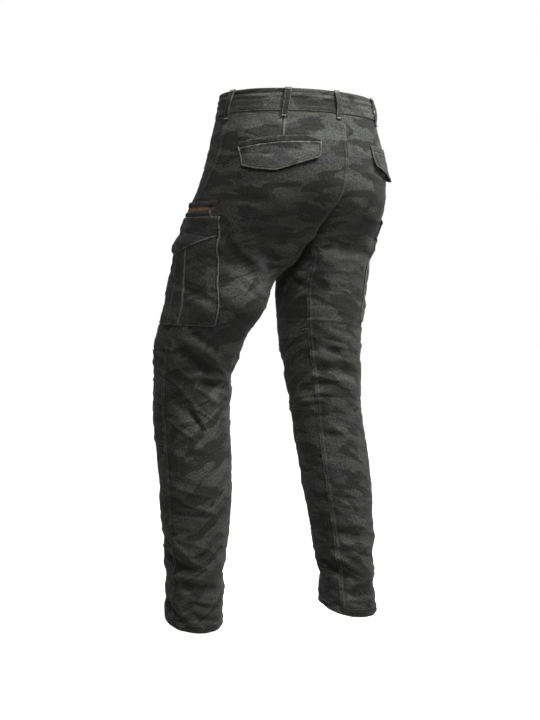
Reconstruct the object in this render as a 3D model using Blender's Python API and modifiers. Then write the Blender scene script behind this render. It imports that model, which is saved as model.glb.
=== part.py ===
"""Motorcycle pants in their worn shape: a cotton shell of sewn panels, with its pockets and zips.

Metres, +Z up, front at -Y, the wearer's left at +X. The origin is the middle of the waist opening,
level with the top edge of the waistband, where the wearer's waist holds the garment up.
"""

import math
from collections import namedtuple

import bmesh
import bpy
import numpy as np
from mathutils import Matrix, Vector

# Cloth and seams: one layer, the doubled waistband and hem, half the gap at a seam, and the air
# under a piece that lies on a panel
CLOTH = 0.0018
BAND_CLOTH = 0.0030
BAND_LIFT = 0.0010
HEM_CLOTH = 0.0028
HALF_GAP = 0.00015
LAY = 0.0008

# Heights that the cut is drawn to, measured down from the top of the waistband
BAND_DEPTH = 0.038
CROTCH_Z = -0.248
KNEE_TOP_Z = -0.460
KNEE_BOTTOM_Z = -0.634
# Both knee seams rise towards the inseam: the lower all the way round, the upper only near it
LOWER_RISE = 0.060
LOWER_RISE_REACH = 0.090
UPPER_RISE = 0.042
UPPER_RISE_REACH = 0.060
UPPER_RISE_MIDDLE = math.radians(150)
UPPER_RISE_OVER = math.radians(60)
HEM_DEPTH = 0.014

# Facets: columns in each front and each back, and the rows from each height down to the next
PANEL_COLUMNS = 11
Level = namedtuple("Level", "z rows")
LEVELS = (
    Level(-BAND_DEPTH, 3),
    Level(-0.110, 4),
    Level(-0.196, 6),
    Level(CROTCH_Z, 2),
    Level(-0.280, 8),
    Level(KNEE_TOP_Z, 9),
    Level(KNEE_BOTTOM_Z, 7),
    Level(-0.810, 8),
)
BAND_ROWS = 4
BAND_COLUMNS = 20
HEM_ROWS = 3

# The right hip sits a little lower than the left, and the legs part below the crotch
HIP_ROLL = 0.010
HOLD_WIDTH = 0.070
FREE_LENGTH = 0.100

# One oval for each half. "closing" is how far past the middle of the back the half's own oval has
# turned at the centre seam: 0 degrees is one ring round both halves, 90 two rings that touch.
TrunkRow = namedtuple("TrunkRow", "z half_width centre_y front_depth back_depth closing")
TRUNK = (
    TrunkRow(0.000, 0.158, 0.000, 0.112, 0.112, 0),
    TrunkRow(-0.038, 0.163, 0.000, 0.116, 0.117, 2),
    TrunkRow(-0.080, 0.170, 0.000, 0.122, 0.127, 6),
    TrunkRow(-0.120, 0.174, 0.000, 0.126, 0.134, 12),
    TrunkRow(-0.143, 0.176, 0.000, 0.126, 0.135, 18),
    TrunkRow(-0.171, 0.178, 0.003, 0.123, 0.130, 29),
    TrunkRow(-0.200, 0.178, 0.010, 0.119, 0.116, 46),
    TrunkRow(-0.223, 0.178, 0.017, 0.116, 0.099, 64),
    TrunkRow(-0.248, 0.178, 0.023, 0.113, 0.081, 90),
)

# The leg as it is cut, a tube that narrows to the hem
LegRow = namedtuple("LegRow", "z half_width front_depth back_depth")
LEG = (
    LegRow(-0.248, 0.0890, 0.113, 0.081),
    LegRow(-0.300, 0.0870, 0.098, 0.080),
    LegRow(-0.370, 0.0840, 0.085, 0.085),
    LegRow(-0.450, 0.0780, 0.079, 0.080),
    LegRow(-0.520, 0.0720, 0.073, 0.074),
    LegRow(-0.580, 0.0690, 0.070, 0.070),
    LegRow(-0.650, 0.0680, 0.069, 0.069),
    LegRow(-0.730, 0.0660, 0.067, 0.067),
    LegRow(-0.820, 0.0600, 0.061, 0.061),
    LegRow(-0.900, 0.0550, 0.057, 0.057),
    LegRow(-0.980, 0.0540, 0.056, 0.056),
)

# How each leg stands: the middle of the tube, its swing from under the seat, its seams' angles from
# the outer side towards the back, the slope of its hem, and how much a bent leg fills its tube
StanceRow = namedtuple("StanceRow", "z centre_x swing outseam inseam tilt fill")
STANCE = {
    "left": (
        StanceRow(-0.000, 0.0000, 0.000, 2, 180, 0.03, 1.00),
        StanceRow(-0.060, 0.0000, -0.004, -3, 180, 0.03, 1.00),
        StanceRow(-0.120, 0.0000, -0.011, -7, 180, 0.02, 1.00),
        StanceRow(-0.160, 0.0000, -0.027, -14, 180, 0.01, 1.00),
        StanceRow(-0.200, 0.0000, -0.055, -21, 180, 0.00, 1.03),
        StanceRow(-0.248, 0.0890, -0.086, -18, 180, 0.00, 1.05),
        StanceRow(-0.300, 0.0930, -0.114, -12, 158, 0.00, 1.14),
        StanceRow(-0.335, 0.0970, -0.124, -8, 153, 0.00, 1.25),
        StanceRow(-0.370, 0.1015, -0.133, -4, 150, 0.00, 1.25),
        StanceRow(-0.440, 0.1085, -0.175, 0, 150, 0.00, 1.15),
        StanceRow(-0.500, 0.1145, -0.188, 0, 149, 0.00, 1.07),
        StanceRow(-0.556, 0.1155, -0.193, 0, 148, 0.00, 1.08),
        StanceRow(-0.704, 0.1220, -0.175, 0, 150, 0.00, 1.08),
        StanceRow(-0.852, 0.1260, -0.172, 0, 150, -0.05, 1.03),
        StanceRow(-0.976, 0.1260, -0.177, 0, 148, -0.22, 0.99),
    ),
    "right": (
        StanceRow(-0.000, 0.0000, 0.000, -4, 180, 0.03, 1.00),
        StanceRow(-0.060, 0.0000, 0.000, -4, 180, 0.03, 1.00),
        StanceRow(-0.120, 0.0000, 0.000, -4, 180, 0.02, 1.00),
        StanceRow(-0.160, 0.0000, -0.005, -5, 180, 0.01, 1.00),
        StanceRow(-0.200, 0.0000, -0.014, -6, 180, 0.00, 1.00),
        StanceRow(-0.248, 0.0890, -0.030, -6, 180, 0.00, 1.00),
        StanceRow(-0.300, 0.0900, -0.046, -4, 158, 0.00, 1.00),
        StanceRow(-0.376, 0.0910, -0.058, -2, 150, 0.00, 1.00),
        StanceRow(-0.452, 0.0960, -0.061, 0, 150, 0.00, 1.00),
        StanceRow(-0.578, 0.1060, -0.053, 0, 148, 0.00, 1.00),
        StanceRow(-0.728, 0.1130, -0.029, 0, 152, 0.00, 1.00),
        StanceRow(-0.833, 0.1180, -0.018, 0, 151, -0.05, 1.00),
        StanceRow(-0.954, 0.1200, -0.006, 0, 148, -0.27, 1.00),
    ),
}
SIGN = {"left": 1.0, "right": -1.0}
SIDES = ("left", "right")

# The largest folds. angle is where the middle lies round the oval, half_length and spread are half
# the fold's length and width, height is out (ridge) or in (trough), and fall is the slope of the
# fold's line, in degrees down towards the back.
Fold = namedtuple("Fold", "side z angle half_length spread height fall")
FOLDS = (
    Fold("left", -0.280, 63, 0.045, 0.010, -0.0040, 37),
    Fold("left", -0.307, 75, 0.056, 0.011, -0.0040, 30),
    Fold("left", -0.281, 102, 0.030, 0.009, -0.0030, 22),
    Fold("left", -0.455, 52, 0.052, 0.011, 0.0060, 35),
    Fold("left", -0.474, 48, 0.046, 0.012, -0.0080, 35),
    Fold("left", -0.523, 86, 0.036, 0.011, -0.0070, 15),
    Fold("left", -0.570, 44, 0.042, 0.011, -0.0045, 42),
    Fold("left", -0.853, 14, 0.038, 0.013, -0.0080, 20),
    Fold("left", -0.895, 60, 0.052, 0.013, -0.0060, 5),
    Fold("left", -0.934, 22, 0.036, 0.010, 0.0040, 40),
    Fold("left", -0.190, -80, 0.055, 0.012, -0.0055, -28),
    Fold("left", -0.222, -92, 0.045, 0.012, -0.0045, -22),
    Fold("left", -0.500, 160, 0.034, 0.012, -0.0060, -12),
    Fold("left", -0.842, -112, 0.040, 0.013, -0.0060, 14),
    Fold("left", -0.893, -78, 0.046, 0.012, -0.0055, -10),
    Fold("left", -0.872, 160, 0.034, 0.012, -0.0050, -14),
    Fold("right", -0.268, 112, 0.062, 0.013, -0.0045, -8),
    Fold("right", -0.450, 125, 0.034, 0.011, -0.0040, -28),
    Fold("right", -0.493, 105, 0.058, 0.011, -0.0060, -8),
    Fold("right", -0.523, 126, 0.034, 0.010, -0.0040, -15),
    Fold("right", -0.552, 166, 0.018, 0.012, 0.0045, -20),
    Fold("right", -0.583, 88, 0.040, 0.011, -0.0035, -65),
    Fold("right", -0.806, 125, 0.034, 0.011, -0.0045, -16),
    Fold("right", -0.876, 152, 0.050, 0.013, -0.0080, -18),
    Fold("right", -0.905, 80, 0.030, 0.010, -0.0035, -4),
    Fold("right", -0.190, -84, 0.050, 0.012, -0.0040, -30),
    Fold("right", -0.500, -118, 0.040, 0.012, -0.0045, 10),
    Fold("right", -0.846, -70, 0.042, 0.013, -0.0060, 12),
    Fold("right", -0.896, -116, 0.044, 0.012, -0.0055, -12),
    Fold("right", -0.858, 20, 0.036, 0.012, -0.0050, -18),
)

# Belt loops, by side and angle round the waistband; the one on the centre back seam comes last
LOOP_WIDTH = 0.012
LOOPS = (
    ("loop_side_left", "left", 2),
    ("loop_side_right", "right", -4),
    ("loop_back_left", "left", 49),
    ("loop_back_right", "right", 51),
    ("loop_front_left", "left", -60),
    ("loop_front_right", "right", -60),
    ("loop_centre", "left", 87),
)
# Heights down a loop, and how far its inner face stands off the cut
LoopRow = namedtuple("LoopRow", "z lift")
LOOP = (
    LoopRow(0.0006, 0.0015),
    LoopRow(-0.007, 0.0028),
    LoopRow(-0.019, 0.0033),
    LoopRow(-0.031, 0.0028),
    LoopRow(-0.0405, 0.0015),
    LoopRow(-0.0500, 0.0008),
)
LOOP_CLOTH = 0.0016

# Back pocket: a welt with a pointed flap below it, drawn across from its outer to its inner end
BACK_POCKET_ANGLE = 47
BACK_POCKET_DROP = {"left": 0.0, "right": 0.010}
FLAP_LEAN = 0.015
FlapRow = namedtuple("FlapRow", "across welt_top flap_top flap_bottom")
BACK_FLAP = (
    FlapRow(-0.074, -0.0905, -0.1010, -0.1300),
    FlapRow(-0.036, -0.0850, -0.0955, -0.1360),
    FlapRow(0.004, -0.0815, -0.0920, -0.1390),
    FlapRow(0.040, -0.0805, -0.0910, -0.1270),
    FlapRow(0.074, -0.0800, -0.0905, -0.1160),
)
FLAP_CLOTH = 0.0020
WELT_CLOTH = 0.0016
FLAP_STAND = {"left": 0.0012, "right": 0.0030}

# Front hip pocket: the bound edge of its mouth, from the waistband down to the side seam
MouthRow = namedtuple("MouthRow", "z angle")
MOUTH = (
    MouthRow(-0.0400, -21),
    MouthRow(-0.0600, -25),
    MouthRow(-0.0850, -28),
    MouthRow(-0.1100, -29),
    MouthRow(-0.1280, -26),
)
MOUTH_WIDTH = 0.007
MOUTH_CLOTH = 0.0012

# Zip pocket above the cargo pocket, across from the side seam
ZIP_Z = -0.200
ZIP_FRONT = -0.074
ZIP_BACK = 0.068
TAPE_HALF = 0.0032
LIP_WIDTH = 0.0095
LIP_CLOTH = 0.0016
TAPE_CLOTH = 0.0009
TAPE_LIFT = 0.0005
SLIDER_ACROSS = 0.060
SLIDER_LENGTH = 0.0076
SLIDER_WIDTH = 0.0054
SLIDER_THICKNESS = 0.0022
SLIDER_EDGE = 0.0006
LUG_WIDTH = 0.0012
LUG_DEPTH = 0.0024
LUG_OVER_PIN = 0.0010
SINK = 0.0004
PIN_RADIUS = 0.0005
PIN_HEIGHT = 0.0055
BARREL_RADIUS = 0.0013
BARREL_HOLE = 0.0009
BARREL_WIDTH = 0.0034
TAB_LENGTH = 0.0135
TAB_WIDTH = 0.0048
TAB_THICKNESS = 0.0011
TAB_SET_BACK = 0.0003
NECK_LENGTH = 0.0029

# Cargo pocket, across from the side seam
BAG_TOP_Z = -0.2200
BAG_BOTTOM_Z = -0.4080
BAG_CLOTH = 0.0018
BAG_LIFT = 0.0013
PLEAT_HALF = 0.018
PLEAT_EDGE = 0.004
PLEAT_MIDDLE = 0.006
PLEAT_STEP = 0.0012
BagRow = namedtuple("BagRow", "z half_width")
BAG = (
    BagRow(-0.2200, 0.079),
    BagRow(-0.2600, 0.086),
    BagRow(-0.3300, 0.089),
    BagRow(-0.4080, 0.093),
)
CARGO_FLAP_TOP_Z = -0.2135
CARGO_FLAP_BEND_Z = -0.2162
CARGO_FLAP_FALL_Z = -0.2170
# How far the flap's inner face stands off the panel, row by row, to clear the bag and its pleat
CARGO_FLAP_LIFTS = (LAY, 0.0062, 0.0070, 0.0070, 0.0072, 0.0076)
CargoFlapRow = namedtuple("CargoFlapRow", "across bottom")
CARGO_FLAP = (
    CargoFlapRow(-0.088, -0.2560),
    CargoFlapRow(-0.056, -0.2680),
    CargoFlapRow(-0.022, -0.2800),
    CargoFlapRow(0.010, -0.2720),
    CargoFlapRow(0.050, -0.2600),
    CargoFlapRow(0.083, -0.2500),
)

# Fly and waist button on the wearer's left front
FLY_WIDTH = 0.038
FLY_BOTTOM_Z = -0.185
FLY_CURVE = 0.034
FLY_CLOTH = 0.0012
FLY_LAY = 0.0010
FLY_ROWS = 11
BUTTON_RADIUS = 0.0085
BUTTON_THICKNESS = 0.0030
BUTTON_ACROSS = 0.016
BUTTON_Z = -0.019
BUTTON_STEPS = 16
BUTTON_MERGE = 0.00005
# The button's profile from the middle of its face to its foot, as shares of its radius and height
ButtonRow = namedtuple("ButtonRow", "radius height")
BUTTON = (
    ButtonRow(0.00, 0.87),
    ButtonRow(0.70, 0.87),
    ButtonRow(0.80, 1.00),
    ButtonRow(0.95, 0.97),
    ButtonRow(1.00, 0.73),
    ButtonRow(0.94, 0.53),
    ButtonRow(0.55, 0.47),
    ButtonRow(0.55, 0.00),
    ButtonRow(0.00, 0.00),
)

# Finishes: linear red, green and blue, roughness, metallic
Finish = namedtuple("Finish", "colour roughness metallic")
FINISHES = {
    "camo_cotton": Finish((0.040, 0.043, 0.038), 0.92, 0.0),
    "zip_tape": Finish((0.022, 0.018, 0.016), 0.85, 0.0),
    "brass": Finish((0.360, 0.210, 0.110), 0.38, 1.0),
    "dark_metal": Finish((0.160, 0.150, 0.140), 0.42, 1.0),
}

# Steps for slopes on the form, and the number of steps of a walk round it
HEIGHT_STEP = 0.002
ANGLE_STEP = 0.010
WALK_STEPS = 10


def smoothstep(t):
    """Rise from 0 to 1 with level ends."""
    t = np.clip(t, 0.0, 1.0)
    return t * t * (3.0 - 2.0 * t)


def along(rows, column, z):
    """Smooth value of one column of a table at the heights z."""
    fall = -np.array([row.z for row in rows])
    values = np.array([getattr(row, column) for row in rows], float)
    slopes = np.gradient(values, fall)
    depth = np.clip(-z, fall[0], fall[-1])
    i = np.clip(np.searchsorted(fall, depth, side="right") - 1, 0, len(fall) - 2)
    span = fall[i + 1] - fall[i]
    t = (depth - fall[i]) / span
    rise = t * t * (3.0 - 2.0 * t)
    bend = t * (1.0 - t) * ((1.0 - t) * slopes[i] - t * slopes[i + 1]) * span
    return values[i] + (values[i + 1] - values[i]) * rise + bend


def form(side, z, phi):
    """Outer face of the cloth without folds, x counted outward from the centre seam.

    phi is the angle round the half's own oval, from the outer side (0) to the back (90 degrees).
    """
    z, phi = np.broadcast_arrays(np.asarray(z, float), np.asarray(phi, float))
    trunk = z >= CROTCH_Z
    high = np.maximum(z, CROTCH_Z)
    low = np.minimum(z, CROTCH_Z)
    stance = STANCE[side]
    turned = np.sin(np.radians(along(TRUNK, "closing", high)))
    outer = along(TRUNK, "half_width", high)
    fill = along(stance, "fill", z)
    centre_x = np.where(trunk, outer * turned / (1 + turned), along(stance, "centre_x", low))
    half_width = np.where(trunk, outer / (1 + turned), along(LEG, "half_width", low))
    front = np.where(trunk, along(TRUNK, "front_depth", high), along(LEG, "front_depth", low))
    back = np.where(trunk, along(TRUNK, "back_depth", high), along(LEG, "back_depth", low))
    x = centre_x + half_width * np.cos(phi)
    reach = np.where(np.sin(phi) < 0, front, back) * np.sin(phi)
    reach = reach * np.where(trunk, 1.0 + (fill - 1.0) * smoothstep(np.abs(x) / HOLD_WIDTH), fill)
    free = smoothstep((CROTCH_Z - z) / FREE_LENGTH)
    hold = smoothstep(np.abs(x) / HOLD_WIDTH)
    shift = along(stance, "swing", z) * (hold + (1.0 - hold) * free)
    y = along(TRUNK, "centre_y", high) + reach + shift
    roll = HIP_ROLL * (1.0 - smoothstep(z / CROTCH_Z))
    height = z + along(stance, "tilt", z) * reach + roll * SIGN[side] * x
    return np.stack([x + HALF_GAP, y, height], axis=-1)


def outward(side, z, phi):
    """Unit normals of the form, in the half's own frame."""
    around = form(side, z, phi + ANGLE_STEP) - form(side, z, phi - ANGLE_STEP)
    rising = form(side, z + HEIGHT_STEP, phi) - form(side, z - HEIGHT_STEP, phi)
    normals = np.cross(around, rising)
    return normals / np.linalg.norm(normals, axis=-1, keepdims=True)


def speed(side, z, phi):
    """Distance round the oval for each radian of angle."""
    around = form(side, z, phi + ANGLE_STEP) - form(side, z, phi - ANGLE_STEP)
    return np.linalg.norm(around, axis=-1) / (2.0 * ANGLE_STEP)


def fold_height(side, z, phi):
    """How far the largest folds move the cloth out of the form."""
    total = np.zeros(np.broadcast(z, phi).shape)
    for fold in FOLDS:
        if fold.side != side:
            continue
        away = (phi - math.radians(fold.angle) + math.pi) % (2.0 * math.pi) - math.pi
        round_it = away * speed(side, fold.z, math.radians(fold.angle))
        drop = fold.z - z
        fall = math.radians(fold.fall)
        length = round_it * math.cos(fall) + drop * math.sin(fall)
        width = drop * math.cos(fall) - round_it * math.sin(fall)
        taper = np.exp(-((length / fold.half_length) ** 4))
        total = total + fold.height * taper * np.exp(-((width / fold.spread) ** 2))
    return total


def cloth(side, z, phi, lift=0.0):
    """Points on the cloth's outer face, with its folds, or lifted off it, in the garment's frame."""
    z, phi = np.broadcast_arrays(np.asarray(z, float), np.asarray(phi, float))
    away = np.asarray(fold_height(side, z, phi) + lift)[..., None]
    points = form(side, z, phi) + outward(side, z, phi) * away
    points[..., 0] *= SIGN[side]
    return points


def walk(side, z, start, distance):
    """Angle reached by walking a distance round the cloth, towards the back if positive."""
    phi = start + 0.0 * distance
    step = distance / WALK_STEPS
    for _ in range(WALK_STEPS):
        phi = phi + step / speed(side, z, phi)
    return phi


def finish(name):
    """Material of one finish, made once."""
    material = bpy.data.materials.get(name)
    if material is None:
        material = bpy.data.materials.new(name)
        material.use_nodes = True
        shader = material.node_tree.nodes["Principled BSDF"]
        shader.inputs["Base Color"].default_value = (*FINISHES[name].colour, 1.0)
        shader.inputs["Roughness"].default_value = FINISHES[name].roughness
        shader.inputs["Metallic"].default_value = FINISHES[name].metallic
    return material


def add_object(name, mesh, finish_name, collection):
    """Object for a mesh, with its finish."""
    mesh.materials.clear()
    mesh.materials.append(finish(finish_name))
    part = bpy.data.objects.new(name, mesh)
    collection.objects.link(part)
    return part


def wall(name, side, outer, inner, finish_name, collection, ring=False):
    """Closed wall between an outer and an inner grid of points, as rows down and columns round.

    The two grids share the cloth's own normals, so that neighbours stay parallel at their seams.
    """
    rows, columns = outer.shape[:2]
    points = np.concatenate([outer.reshape(-1, 3), inner.reshape(-1, 3)])
    inside = rows * columns
    last = columns if ring else columns - 1
    faces = []
    for row in range(rows - 1):
        for column in range(last):
            a = row * columns + column
            b = row * columns + (column + 1) % columns
            c = b + columns
            d = a + columns
            faces.append((a, d, c, b))
            faces.append((inside + a, inside + b, inside + c, inside + d))
    for column in range(last):
        a = column
        b = (column + 1) % columns
        faces.append((a, b, inside + b, inside + a))
        low = (rows - 1) * columns
        faces.append((low + b, low + a, inside + low + a, inside + low + b))
    if not ring:
        for row in range(rows - 1):
            a = row * columns
            d = a + columns
            faces.append((a, inside + a, inside + d, d))
            faces.append((a + last, d + last, inside + d + last, inside + a + last))
    if SIGN[side] < 0:
        faces = [tuple(reversed(face)) for face in faces]
    mesh = bpy.data.meshes.new(name)
    mesh.from_pydata(points.tolist(), [], faces)
    mesh.validate()
    mesh.shade_smooth()
    mesh.set_sharp_from_angle(angle=math.radians(40))
    return add_object(name, mesh, finish_name, collection)


def knee_rise(z, phi):
    """How much higher the knee seams run near the inseam than at the side seam."""
    near = np.exp(-(((z - KNEE_BOTTOM_Z) / LOWER_RISE_REACH) ** 2))
    lower = LOWER_RISE * near * (1.0 - np.cos(phi)) / 2.0
    near = np.exp(-(((z - KNEE_TOP_Z) / UPPER_RISE_REACH) ** 2))
    away = np.abs((phi - UPPER_RISE_MIDDLE + math.pi) % (2.0 * math.pi) - math.pi)
    return lower + UPPER_RISE * near * smoothstep(1.0 - away / UPPER_RISE_OVER)


def levels(side):
    """Heights of the panels' sections, with the two knee seams and the hem among them."""
    hem = STANCE[side][-1].z + HEM_DEPTH
    ends = [mark.z for mark in LEVELS[1:]] + [hem]
    heights = []
    for mark, bottom in zip(LEVELS, ends):
        heights.extend(np.linspace(mark.z, bottom, mark.rows, endpoint=False))
    heights.append(hem)
    return np.array(heights)


def side_seam(side, z):
    """Angle of the side seam, in radians."""
    return np.radians(along(STANCE[side], "outseam", z))


def inner_seam(side, z):
    """Angle of the centre back seam above the crotch and of the inseam below it, in radians."""
    centre = 90.0 + along(TRUNK, "closing", np.maximum(z, CROTCH_Z))
    inseam = along(STANCE[side], "inseam", np.minimum(z, CROTCH_Z))
    return np.radians(np.where(z > CROTCH_Z, centre, inseam))


def panel(name, side, heights, back, collection):
    """One cut of a trouser leg, back or front, between the side seam and the inner seam."""
    inner = inner_seam(side, heights)
    if not back:
        inner = np.where(heights > CROTCH_Z, -inner, inner - 2.0 * math.pi)
    outer_edge = side_seam(side, heights)
    turn = 1.0 if back else -1.0
    outer_edge = outer_edge + turn * HALF_GAP / speed(side, heights, outer_edge)
    pull = np.where(heights > CROTCH_Z, 0.0, turn * HALF_GAP / speed(side, heights, inner))
    inner = inner - pull
    share = np.linspace(0.0, 1.0, PANEL_COLUMNS + 1)[None, :]
    first, last = (outer_edge, inner) if back else (inner, outer_edge)
    phi = first[:, None] * (1.0 - share) + last[:, None] * share
    z = heights[:, None] + knee_rise(heights[:, None], phi)
    outside = cloth(side, z, phi)
    inside = cloth(side, z, phi, -CLOTH)
    return wall(name, side, outside, inside, "camo_cotton", collection)


def row_point(side, height, phi):
    """Points on one section of the panels, on the straight runs between its columns."""
    outer = side_seam(side, height)
    inner = inner_seam(side, height)
    front_inner = np.where(height > CROTCH_Z, -inner, inner - 2.0 * math.pi)
    inner = np.where(phi >= outer, inner, front_inner)
    share = PANEL_COLUMNS * (phi - outer) / (inner - outer)
    column = np.clip(np.floor(share), 0, PANEL_COLUMNS - 1)
    step = (inner - outer) / PANEL_COLUMNS
    first = cloth(side, height, outer + step * column)
    second = cloth(side, height, outer + step * (column + 1))
    part = (share - column)[..., None]
    return first * (1.0 - part) + second * part


def laid(side, z, phi, lift):
    """Points moved out from a panel along the cloth's normals.

    They start from the cloth, or from the panel's own facet where that bridges a fold outside it.
    """
    heights = levels(side)
    row = np.clip(np.searchsorted(-heights, -z, side="right") - 1, 0, len(heights) - 2)
    top, bottom = heights[row], heights[row + 1]
    share = ((top - z) / (top - bottom))[..., None]
    facets = row_point(side, top, phi) * (1.0 - share) + row_point(side, bottom, phi) * share
    normals = outward(side, z, phi)
    normals[..., 0] *= SIGN[side]
    smooth = cloth(side, z, phi)
    bridge = np.maximum(np.sum((facets - smooth) * normals, axis=-1), 0.0)
    bridge = np.where(z > -BAND_DEPTH, 0.0, bridge)
    return smooth + normals * (bridge + lift)[..., None]


def patch(name, side, start, across, z, lift, thickness, finish_name, collection):
    """Cloth laid on a panel: distances across from a start angle, heights, and lift off the panel."""
    phi = walk(side, z, start + 0.0 * across, across)
    outside = laid(side, z, phi, lift + thickness)
    inside = laid(side, z, phi, lift)
    return wall(name, side, outside, inside, finish_name, collection)


def spread_rows(top, bottom, count):
    """Rows of heights from a top line to a bottom line."""
    share = np.linspace(0.0, 1.0, count)[:, None]
    return top[None, :] * (1.0 - share) + bottom[None, :] * share


def read(rows, column, key, values):
    """Straight-line value of one column of a table at the values of its key column."""
    keys = [getattr(row, key) for row in rows]
    found = [getattr(row, column) for row in rows]
    if keys[0] > keys[-1]:
        keys, found = keys[::-1], found[::-1]
    return np.interp(values, keys, found)


def clear_of_seams(heights):
    """The same heights, with half a seam's gap taken off each end."""
    heights = heights.copy()
    heights[0] -= HALF_GAP
    heights[-1] += HALF_GAP
    return heights


def build_panels(collection):
    """Backs in one cut each, fronts in three."""
    for side in SIDES:
        heights = levels(side)
        panel(f"back_{side}", side, clear_of_seams(heights), True, collection)
        above_knee = np.searchsorted(-heights, -KNEE_TOP_Z - HALF_GAP)
        above_shin = np.searchsorted(-heights, -KNEE_BOTTOM_Z - HALF_GAP)
        upper = heights[: above_knee + 1]
        knee = heights[above_knee : above_shin + 1]
        lower = heights[above_shin:]
        panel(f"front_upper_{side}", side, clear_of_seams(upper), False, collection)
        panel(f"knee_{side}", side, clear_of_seams(knee), False, collection)
        panel(f"front_lower_{side}", side, clear_of_seams(lower), False, collection)


def build_waistband(collection):
    """Two halves of the band, from the centre front to the centre back."""
    columns = np.linspace(-1.0, 1.0, BAND_COLUMNS + 1)[None, :]
    z = np.linspace(0.0, -BAND_DEPTH + HALF_GAP, BAND_ROWS)[:, None]
    for side in SIDES:
        end = inner_seam(side, z)
        phi = end * columns
        outside = cloth(side, z + 0.0 * phi, phi, BAND_LIFT)
        inside = cloth(side, z + 0.0 * phi, phi, BAND_LIFT - BAND_CLOTH)
        wall(f"waistband_{side}", side, outside, inside, "camo_cotton", collection)


def build_hems(collection):
    """A turned band round each ankle."""
    for side in SIDES:
        bottom = STANCE[side][-1].z
        z = np.linspace(bottom + HEM_DEPTH - 3 * HALF_GAP, bottom, HEM_ROWS)[:, None]
        phi = np.radians(np.linspace(0.0, 360.0, 2 * PANEL_COLUMNS, endpoint=False))[None, :]
        outside = cloth(side, z + 0.0 * phi, phi + 0.0 * z, HEM_CLOTH - CLOTH)
        inside = cloth(side, z + 0.0 * phi, phi + 0.0 * z, -CLOTH)
        wall(f"hem_{side}", side, outside, inside, "camo_cotton", collection, ring=True)


def build_loops(collection):
    """Seven belt loops, each standing a belt's thickness off the band at its middle."""
    z = np.array([row.z for row in LOOP])[:, None]
    lift = np.array([row.lift for row in LOOP])[:, None]
    for name, side, angle in LOOPS:
        across = np.linspace(-LOOP_WIDTH / 2, LOOP_WIDTH / 2, 3)[None, :] + 0.0 * z
        heights = z + 0.0 * across
        patch(name, side, math.radians(angle), across, heights, lift, LOOP_CLOTH, "camo_cotton",
              collection)


def build_back_pockets(collection):
    """Welt and pointed flap on each back."""
    across = np.linspace(BACK_FLAP[0].across, BACK_FLAP[-1].across, 13)
    start = math.radians(BACK_POCKET_ANGLE)
    share = np.linspace(0.0, 1.0, 5)[:, None]
    leaning = across + FLAP_LEAN * share * np.clip(across / BACK_FLAP[0].across, 0.0, 1.0) ** 2
    for side in SIDES:
        welt_top, flap_top, flap_bottom = (
            read(BACK_FLAP, column, "across", across) - BACK_POCKET_DROP[side]
            for column in ("welt_top", "flap_top", "flap_bottom")
        )
        welt = spread_rows(welt_top, flap_top + 2 * HALF_GAP, 2)
        patch(f"back_welt_{side}", side, start, across[None, :] + 0 * welt, welt, LAY, WELT_CLOTH,
              "camo_cotton", collection)
        flap = spread_rows(flap_top, flap_bottom, 5)
        patch(f"back_flap_{side}", side, start, leaning, flap, LAY + FLAP_STAND[side] * share**1.5,
              FLAP_CLOTH, "camo_cotton", collection)


def build_front_pockets(collection):
    """Bound edge of each hip pocket's mouth."""
    z = np.linspace(MOUTH[0].z, MOUTH[-1].z, 9)[:, None]
    start = np.radians(read(MOUTH, "angle", "z", z))
    across = np.array([-MOUTH_WIDTH / 2, MOUTH_WIDTH / 2])[None, :] + 0.0 * z
    for side in SIDES:
        patch(f"front_pocket_edge_{side}", side, start, across, z + 0.0 * across, LAY, MOUTH_CLOTH,
              "camo_cotton", collection)


def build_fly(collection):
    """Facing that covers the front opening, with its curved lower end."""
    across = FLY_WIDTH * np.sin(np.radians(np.linspace(0.0, 90.0, 7)))
    bottom = FLY_BOTTOM_Z + FLY_CURVE * (1.0 - np.sqrt(1.0 - (across / FLY_WIDTH) ** 2))
    top = np.full_like(bottom, -BAND_DEPTH - 4 * HALF_GAP)
    z = spread_rows(top, bottom, FLY_ROWS)
    start = -inner_seam("left", z)
    patch("fly", "left", start, across[None, :] + 0.0 * z, z, FLY_LAY, FLY_CLOTH, "camo_cotton",
          collection)


def build_cargo_pockets(collection):
    """Bag with its box pleat, and the pointed flap over its mouth."""
    for side in SIDES:
        z = np.linspace(BAG_TOP_Z, BAG_BOTTOM_Z, 10)[:, None]
        half = read(BAG, "half_width", "z", z)
        side_lines = np.linspace(1.0, 0.32, 5)
        pleat_lines = np.array([PLEAT_MIDDLE, PLEAT_HALF, PLEAT_HALF + PLEAT_EDGE])
        pleat = np.concatenate([-pleat_lines[::-1], pleat_lines]) + 0.0 * half
        across = np.concatenate([-half * side_lines, pleat, half * side_lines[::-1]], axis=1)
        raised = np.abs(across) <= PLEAT_HALF + 1e-6
        thickness = BAG_CLOTH + PLEAT_STEP * raised
        heights = z + 0.0 * across
        start = side_seam(side, heights)
        patch(f"cargo_bag_{side}", side, start, across, heights, BAG_LIFT, thickness, "camo_cotton",
              collection)
        ends = np.linspace(CARGO_FLAP[0].across, CARGO_FLAP[-1].across, 15)
        bottom = read(CARGO_FLAP, "bottom", "across", ends)
        root = np.array([CARGO_FLAP_TOP_Z, CARGO_FLAP_BEND_Z])[:, None] + 0.0 * bottom[None, :]
        fall = spread_rows(np.full_like(bottom, CARGO_FLAP_FALL_Z), bottom, len(CARGO_FLAP_LIFTS) - 2)
        z = np.concatenate([root, fall])
        lift = np.array(CARGO_FLAP_LIFTS)[:, None]
        across = ends[None, :] + 0.0 * z
        patch(f"cargo_flap_{side}", side, side_seam(side, z), across, z, lift, FLAP_CLOTH,
              "camo_cotton", collection)


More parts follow.
